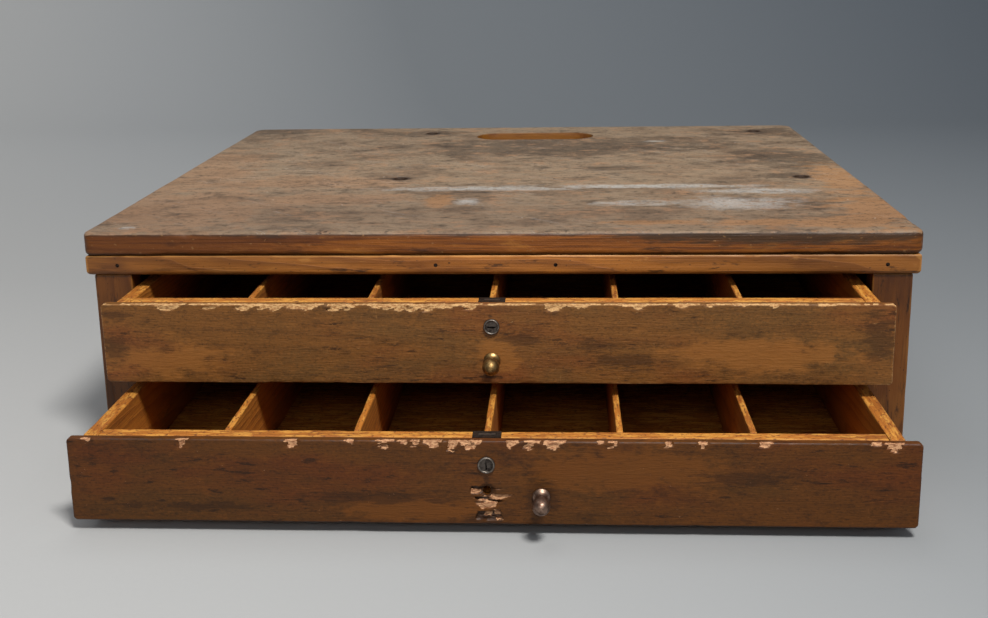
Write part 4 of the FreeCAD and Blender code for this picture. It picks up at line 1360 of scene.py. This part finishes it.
def drawer_front(drawer, seed, chips, torn):
    """A front board with its chips and, where torn, the old knob's hole."""
    board = Board(f"{drawer}_front_board", "x", seed)
    points, quads = grid_shell(front_grid(board.half, torn))
    places = points + board.centre
    front = points[:, 1] < 0
    drop = board.half[2] - points[:, 2]
    ragged = smooth_noise(places * (1, 0, 1), (0.0055, 1, 0.0035), seed + 2, 3)
    thin = 0.0006 if drawer == "upper" else 0.0
    reach = chip_depth(places, chips, ragged, thin)
    chipped = np.clip((reach - drop) / 0.0007 + 0.5, 0, 1) * front * (reach > 0.0004)
    bite = np.clip((reach - drop) / 0.0032, 0, 1) ** 0.7 * np.where(front, 0.0019, 0.0)
    bite *= 0.6 + 0.7 * smooth_noise(places, (0.003, 0.003, 0.002), seed + 4)
    inset = np.sort(board.half - np.abs(points), axis=1)[:, 1]
    radius = 0.0007 + 0.0012 * smooth_noise(places, (0.05, 0.02, 0.02), seed)
    dent = 0.0003 * smooth_noise(places, (0.08, 0.03, 0.02), seed + 7)
    bruise = np.clip(smooth_noise(places, (0.012, 0.012, 0.012), seed + 8) - 0.66, 0, 1) * 0.003
    dent += bruise * np.clip(1 - inset / 0.004, 0, 1)
    shaped = rolled(points, board.half, radius, np.minimum(dent, radius * 0.7))
    shaped[:, [0, 2]] += corner_pull(points, board.half)
    shaped[:, 1] += bite * front
    shaped[:, 2] -= np.where(drop < 0.0001, bite * 0.5, 0)
    bare, dirt = np.zeros((2, len(points)))
    if torn:
        depth, bare, dirt = torn_hole(places, (DRAWER_MIDDLE, 0, OLD_KNOB_HEIGHT))
        shaped[:, 1] += depth * front
    piece = mesh_piece(f"{drawer}_front_wood", shaped + board.centre, quads)
    set_value(piece.data, "chip", np.maximum(chipped, bare * front))
    set_value(piece.data, "dirt", dirt * front)
    return board, piece


# %% [markdown]
# The two fronts aged apart. The upper one is worn to orange round its knob and at the ends, the lower one
# is darker with a dull edge. Their worn and dark patches are listed like those of the top.

# %% Front boards
UPPER_WORN = [
    ((0.003, -0.322, 0.104), (0.018, 0.03, 0.014)), ((0.20, -0.322, 0.105), (0.07, 0.03, 0.016)),
    ((-0.25, -0.322, 0.10), (0.05, 0.03, 0.012)),
]
UPPER_DARK = [
    ((0.022, -0.322, 0.117), (0.016, 0.03, 0.006)), ((-0.288, -0.322, 0.136), (0.012, 0.03, 0.004)),
    ((0.10, -0.322, 0.100), (0.03, 0.03, 0.006)), ((0.08, -0.322, 0.112), (0.022, 0.03, 0.006)),
    ((-0.287, -0.322, 0.11), (0.010, 0.03, 0.012)), ((0.283, -0.322, 0.12), (0.012, 0.03, 0.02)),
]
LOWER_WORN = [((0.09, -0.405, 0.050), (0.09, 0.03, 0.018)), ((-0.05, -0.405, 0.02), (0.06, 0.03, 0.01))]
LOWER_DARK = [
    ((-0.08, -0.405, 0.028), (0.06, 0.03, 0.005)), ((0.0, -0.405, 0.014), (0.017, 0.03, 0.006)),
    ((0.18, -0.405, 0.045), (0.03, 0.03, 0.006)), ((0.0368, -0.405, 0.026), (0.012, 0.03, 0.012)),
    ((-0.20, -0.405, 0.02), (0.05, 0.03, 0.004)), ((-0.0012, -0.405, 0.0418), (0.002, 0.03, 0.002)),
]
upper_stain = stained_front(
    "stained_front_upper", UPPER_WORN, UPPER_DARK,
    chip_pale=screen(188, 150, 102), chip_tan=screen(140, 98, 58),
    tone=(0.94, 0.94, 0.80, 1), edge_colour=screen(176, 134, 86), rubbed_share=0.5,
)
lower_stain = stained_front(
    "stained_front_lower", LOWER_WORN, LOWER_DARK,
    chip_pale=screen(186, 142, 104), chip_tan=screen(132, 88, 60),
    tone=(0.51, 0.41, 0.15, 1), edge_colour=screen(60, 44, 38), rubbed_share=0.8,
)
FRONT_BORE = 0.0061
FRONTS = [("upper", 101, UPPER_CHIPS, False, upper_stain), ("lower", 102, LOWER_CHIPS, True, lower_stain)]
for drawer, seed, chips, torn, stain in FRONTS:
    board, piece = drawer_front(drawer, seed, chips, torn)
    hole_low, hole_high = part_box(f"{drawer}_lock_cylinder")
    at = (DRAWER_MIDDLE, board.centre[1] - board.half[1] - 0.002, (hole_low.z + hole_high.z) / 2)
    knives = [turned("bore_knife", [(0, FRONT_BORE), (0.012, FRONT_BORE)], at, (0, 1, 0), 48)]
    if torn:
        old = (DRAWER_MIDDLE, at[1], OLD_KNOB_HEIGHT)
        profile = [(0, OLD_KNOB_RADIUS), (0.012, OLD_KNOB_RADIUS)]
        knives.append(turned("old_knife", profile, old, (0, 1, 0), 20))
    cut_away(piece, *knives)
    mark_board(piece, board)
    finish_piece(piece, f"{drawer}_drawer", "stained_front", stain, f"{drawer}_front_board")
    print(piece.name, len(piece.data.polygons), "faces")

# %% [markdown]
# Knobs and lock housings are lathe work: a profile turned round an axis. A few profile points are joined by
# a smooth curve, the way a turner's template is, and the knob keeps its screw shank behind the flange.

# %% Turned metal
KNOB_PROFILE = [
    (-0.0150, 0.0), (-0.0150, 0.0022), (-0.0002, 0.0022), (0.0, 0.0060), (0.0005, 0.0064),
    (0.0012, 0.0063), (0.0018, 0.0055), (0.0026, 0.0046), (0.0042, 0.0037), (0.0060, 0.0033),
    (0.0078, 0.0035), (0.0096, 0.0044), (0.0116, 0.0056), (0.0138, 0.0062), (0.0160, 0.0063),
    (0.0182, 0.0056), (0.0202, 0.0043), (0.0214, 0.0028), (0.02175, 0.0020), (0.0222, 0.0019),
    (0.0225, 0.0012), (0.0225, 0.0),
]
NECK, BALL_END = 6, 17
METAL_CREASE = math.radians(45)
HOUSING_BORE, HOUSING_RADIUS = 0.00448, 0.0060


def smooth_profile(profile, first, last, steps=3):
    """Adds points between first and last on a curve through the profile's points."""
    points = np.array(profile, float)
    shaped = [tuple(point) for point in points[:first + 1]]
    for i in range(first, last):
        before, here, there, after = points[i - 1], points[i], points[i + 1], points[i + 2]
        for step in range(1, steps + 1):
            t = step / steps
            bend = 2 * here + (there - before) * t
            bend = bend + (2 * before - 5 * here + 4 * there - after) * t**2
            bend = bend + (3 * here - before - 3 * there + after) * t**3
            shaped.append(tuple(bend / 2))
    return shaped + [tuple(point) for point in points[last + 1:]]


for drawer, slot, material in (("upper", "brass", brass), ("lower", "dull_brass", dull_brass)):
    knob_low, knob_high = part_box(f"{drawer}_knob")
    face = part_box(f"{drawer}_front_board")[0].y
    middle = ((knob_low.x + knob_high.x) / 2, face, (knob_low.z + knob_high.z) / 2)
    template = smooth_profile(KNOB_PROFILE, NECK, BALL_END)
    knob = turned(f"{drawer}_knob_turned", template, middle, (0, -1, 0), 48)
    knob.data.set_sharp_from_angle(angle=METAL_CREASE)
    finish_piece(knob, f"{drawer}_drawer", slot, material, f"{drawer}_knob")
    ring_low, ring_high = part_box(f"{drawer}_lock_cylinder")
    length = ring_high.y - ring_low.y
    housing_profile = [
        (0, HOUSING_BORE), (0, HOUSING_RADIUS), (length - 0.0006, HOUSING_RADIUS),
        (length - 0.00018, 0.00582), (length, 0.0054), (length, 0.0050),
        (length - 0.0002, 0.00466), (length - 0.0005, HOUSING_BORE), (0, HOUSING_BORE),
    ]
    base = ((ring_low.x + ring_high.x) / 2, ring_high.y, (ring_low.z + ring_high.z) / 2)
    housing = turned(f"{drawer}_lock_housing", housing_profile, base, (0, -1, 0), 48)
    housing.data.set_sharp_from_angle(angle=METAL_CREASE)
    finish_piece(housing, f"{drawer}_drawer", "steel", steel, f"{drawer}_lock_cylinder")
    print(knob.name, len(knob.data.polygons), "faces;", housing.name, len(housing.data.polygons), "faces")

# %% [markdown]
# Nails and screws repeat, so one node tree makes them all. It reads a point for each fixing and the
# direction that it was driven, puts a head and a shank there, turns each by a fixed random angle, and for a
# screw cuts a slot in the head. The result is turned into plain meshes, one for each designed set.

# %% Fixings by Geometry Nodes
FIXING_SOCKETS = [
    ("Points", "NodeSocketGeometry", None), ("Head radius", "NodeSocketFloat", 0.0016),
    ("Head depth", "NodeSocketFloat", 0.0008), ("Shank radius", "NodeSocketFloat", 0.001),
    ("Length", "NodeSocketFloat", 0.024), ("Countersunk", "NodeSocketBool", False),
    ("Slotted", "NodeSocketBool", False), ("Seed", "NodeSocketInt", 4),
    ("Metal", "NodeSocketMaterial", None),
]
SLOT_BAR = (0.008, 0.0007, 0.0011)


def fixing_tree():
    tree = bpy.data.node_groups.new("driven_fixings", "GeometryNodeTree")
    for name, kind, value in FIXING_SOCKETS:
        socket = tree.interface.new_socket(name, in_out="INPUT", socket_type=kind)
        if value is not None:
            socket.default_value = value
    tree.interface.new_socket("Fixings", in_out="OUTPUT", socket_type="NodeSocketGeometry")

    def add(kind, *feeds, **settings):
        """A node; each feed names an input and gives the socket or the value that goes into it."""
        node = tree.nodes.new(kind)
        for key, value in settings.items():
            setattr(node, key, value)
        for name, value in feeds:
            if isinstance(value, bpy.types.NodeSocket):
                tree.links.new(value, node.inputs[name])
            else:
                node.inputs[name].default_value = value
        return node

    given = add("NodeGroupInput").outputs
    head_radius, shank_radius = given["Head radius"], given["Shank radius"]
    lip = add("GeometryNodeSwitch", ("Switch", given["Countersunk"]), ("False", head_radius),
              ("True", shank_radius), input_type="FLOAT")
    head = add("GeometryNodeMeshCone", ("Vertices", 20), ("Radius Bottom", head_radius),
               ("Radius Top", lip.outputs[0]), ("Depth", given["Head depth"])).outputs["Mesh"]
    shank = add("GeometryNodeMeshCone", ("Vertices", 12), ("Radius Bottom", shank_radius),
                ("Radius Top", shank_radius), ("Depth", given["Length"])).outputs["Mesh"]
    whole = add("GeometryNodeMeshBoolean", ("Mesh 2", head), ("Mesh 2", shank),
                operation="UNION", solver="EXACT").outputs["Mesh"]
    bar = add("GeometryNodeMeshCube", ("Size", SLOT_BAR)).outputs["Mesh"]
    slotted = add("GeometryNodeMeshBoolean", ("Mesh 1", whole), ("Mesh 2", bar),
                  operation="DIFFERENCE", solver="EXACT").outputs["Mesh"]
    choice = add("GeometryNodeSwitch", ("Switch", given["Slotted"]), ("False", whole), ("True", slotted),
                 input_type="GEOMETRY")
    driven = add("GeometryNodeInputNamedAttribute", ("Name", "driven"), data_type="FLOAT_VECTOR")
    turn = add("FunctionNodeAlignRotationToVector", ("Vector", driven.outputs["Attribute"]), axis="Z")
    placed = add("GeometryNodeInstanceOnPoints", ("Points", given["Points"]),
                 ("Instance", choice.outputs[0]), ("Rotation", turn.outputs["Rotation"]))
    spin = add("FunctionNodeRandomValue", ("Max", math.pi), ("Seed", given["Seed"]), data_type="FLOAT")
    about = add("ShaderNodeCombineXYZ", ("Z", spin.outputs["Value"]))
    spun = add("GeometryNodeRotateInstances", ("Instances", placed.outputs["Instances"]),
               ("Rotation", about.outputs[0]))
    real = add("GeometryNodeRealizeInstances", ("Geometry", spun.outputs["Instances"]))
    coat = add("GeometryNodeSetMaterial", ("Geometry", real.outputs["Geometry"]),
               ("Material", given["Metal"]))
    add("NodeGroupOutput", ("Fixings", coat.outputs["Geometry"]))
    return tree


FIXINGS = fixing_tree()
print("fixing tree:", len(FIXINGS.nodes), "nodes")

# %% [markdown]
# The nails and screws are driven where the designed ones are. Nail heads sit a little below the surface, in
# the mouths that were cut for them, and screws are countersunk.

# %% Nails and screws
NAIL_SINK = 0.0004
SCREW = {
    "Head radius": 0.0024, "Head depth": 0.0012, "Shank radius": 0.0013,
    "Countersunk": True, "Slotted": True,
}


def fixings(name, places, directions, values, body, node):
    """Nails or screws as one plain mesh that stands for a node."""
    mesh = bpy.data.meshes.new(name + "_points")
    mesh.from_pydata([tuple(place) for place in places], [], [])
    set_value(mesh, "driven", np.array(directions, float))
    holder = bpy.data.objects.new(name + "_points", mesh)
    bpy.context.scene.collection.objects.link(holder)
    maker = holder.modifiers.new("fixings", "NODES")
    maker.node_group = FIXINGS
    named = {item.name: item.identifier for item in FIXINGS.interface.items_tree if item.in_out == "INPUT"}
    for key, value in {**values, "Metal": iron}.items():
        maker[named[key]] = value
    graph = bpy.context.evaluated_depsgraph_get()
    made = bpy.data.meshes.new_from_object(holder.evaluated_get(graph))
    bpy.data.objects.remove(holder)
    made.name = name
    piece = bpy.data.objects.new(name, made)
    bpy.context.scene.collection.objects.link(piece)
    finish_piece(piece, body, "iron", iron, node)
    print(name, len(made.polygons), "faces from", len(places), "points")


def sunk(place, way):
    return tuple(np.array(place) + np.array(way) * NAIL_SINK)


strip_nails, back_nails = [], []
for node, (spots, way) in NAILS.items():
    nails = back_nails if node == "back_board" else strip_nails
    nails += [(place, way) for place in spots]
for name, nails, length in (("moulding", strip_nails, 0.0236), ("back", back_nails, 0.0296)):
    fixings(f"{name}_nail_set", [sunk(*nail) for nail in nails], [way for _, way in nails],
            {"Length": length}, "case", f"{name}_nails")
for drawer in ("upper", "lower"):
    for use, length, levels in (("front", 0.014, 2), ("lock", 0.007, 1)):
        low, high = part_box(f"{drawer}_{use}_screws")
        inset = SCREW["Head radius"]
        rows = (low.z + inset, high.z - inset) if levels == 2 else ((low.z + high.z) / 2,)
        places = [(x, high.y, z) for x in (low.x + inset, high.x - inset) for z in rows]
        fixings(f"{drawer}_{use}_screw_set", places, [(0, -1, 0)] * len(places), {**SCREW, "Length": length},
                f"{drawer}_drawer", f"{drawer}_{use}_screws")

# %% [markdown]
# The lock cases, plugs and bolts keep their designed shapes: flat plates and plain turnings need no more
# than a finish.

# %% Finish for the lock parts
LOCK_METALS = {"lock_case": dark_steel, "lock_plug": dark_steel, "lock_bolt": steel}
for drawer in ("upper", "lower"):
    for part, material in LOCK_METALS.items():
        kept = nodes[f"{drawer}_{part}"]
        kept.data.materials.clear()
        kept.data.materials.append(material)
left_over = [name for name, node in nodes.items() if not node.hide_render]
print("designed nodes still shown:", sorted(left_over))

# %% [markdown]
# The chest stands on a plain pale floor that curves up far behind it, so no line shows where they meet. The
# floor is a strip whose outline is flat, then part of a circle, and it has the faint tooth of painted
# board. Its colour is graded as painted light: paler at the left and in front, darker and cooler towards
# the right and behind.

# %% Floor
FLOOR_FRONT, FLOOR_HALF_WIDTH = -12.0, 16.0
CURVE_START, CURVE_RADIUS, WALL_HEIGHT = 1.6, 1.6, 4.0


def pale_floor():
    """Matt painted board with painted light: paler at the left and in front."""
    recipe = Recipe("pale_floor")
    place = recipe.place()
    tooth = recipe.noise(recipe.stretched(place, 180, 180, 180), detail=3)
    parts = recipe.add("SeparateXYZ", place).outputs
    # Painted light: the floor is paler at the left and in front, darker and cooler to the right and behind.
    painted_light_fade = recipe.math("MULTIPLY_ADD", parts[1], 0.08, recipe.math("MULTIPLY_ADD", parts[0], 0.26, 0.42))
    painted_light_grade = recipe.ramp(
        painted_light_fade, (0.15, screen(190, 189, 186)), (0.30, screen(164, 165, 165)),
        (0.50, screen(124, 128, 131)), (1.0, screen(102, 110, 118)),
    )
    tint = recipe.coat(painted_light_grade, screen(150, 150, 150), tooth, 0.06)
    return recipe.finish(tint, recipe.math("MULTIPLY_ADD", tooth, 0.1, 0.8), tooth, 0.0001)


outline = [(FLOOR_FRONT, 0.0), (-2.0, 0.0), (0.0, 0.0), (CURVE_START, 0.0)]
for turn in np.linspace(0.05, math.pi / 2, 24):
    outline.append((CURVE_START + CURVE_RADIUS * math.sin(turn), CURVE_RADIUS * (1 - math.cos(turn))))
outline.append((CURVE_START + CURVE_RADIUS, WALL_HEIGHT))
points = [(x, y, z) for y, z in outline for x in (-FLOOR_HALF_WIDTH, FLOOR_HALF_WIDTH)]
faces = [(i, i + 1, i + 3, i + 2) for i in range(0, len(points) - 2, 2)]
floor = mesh_piece("floor", points, faces)
floor.data.materials.append(pale_floor())
floor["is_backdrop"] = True
print("floor:", len(faces), "faces")

# %% [markdown]
# Last, the shown model's box is printed next to the designed one.

# %% Size and finish
low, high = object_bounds()
boxes = {"cad": [list(cad_low), list(cad_high)], "visual": [list(low), list(high)]}
for name, (start, end) in boxes.items():
    print(name, [round(value, 5) for value in start], [round(value, 5) for value in end])
triangles = sum(len(face.vertices) - 2 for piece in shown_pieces() for face in piece.data.polygons)
print("triangles:", triangles)
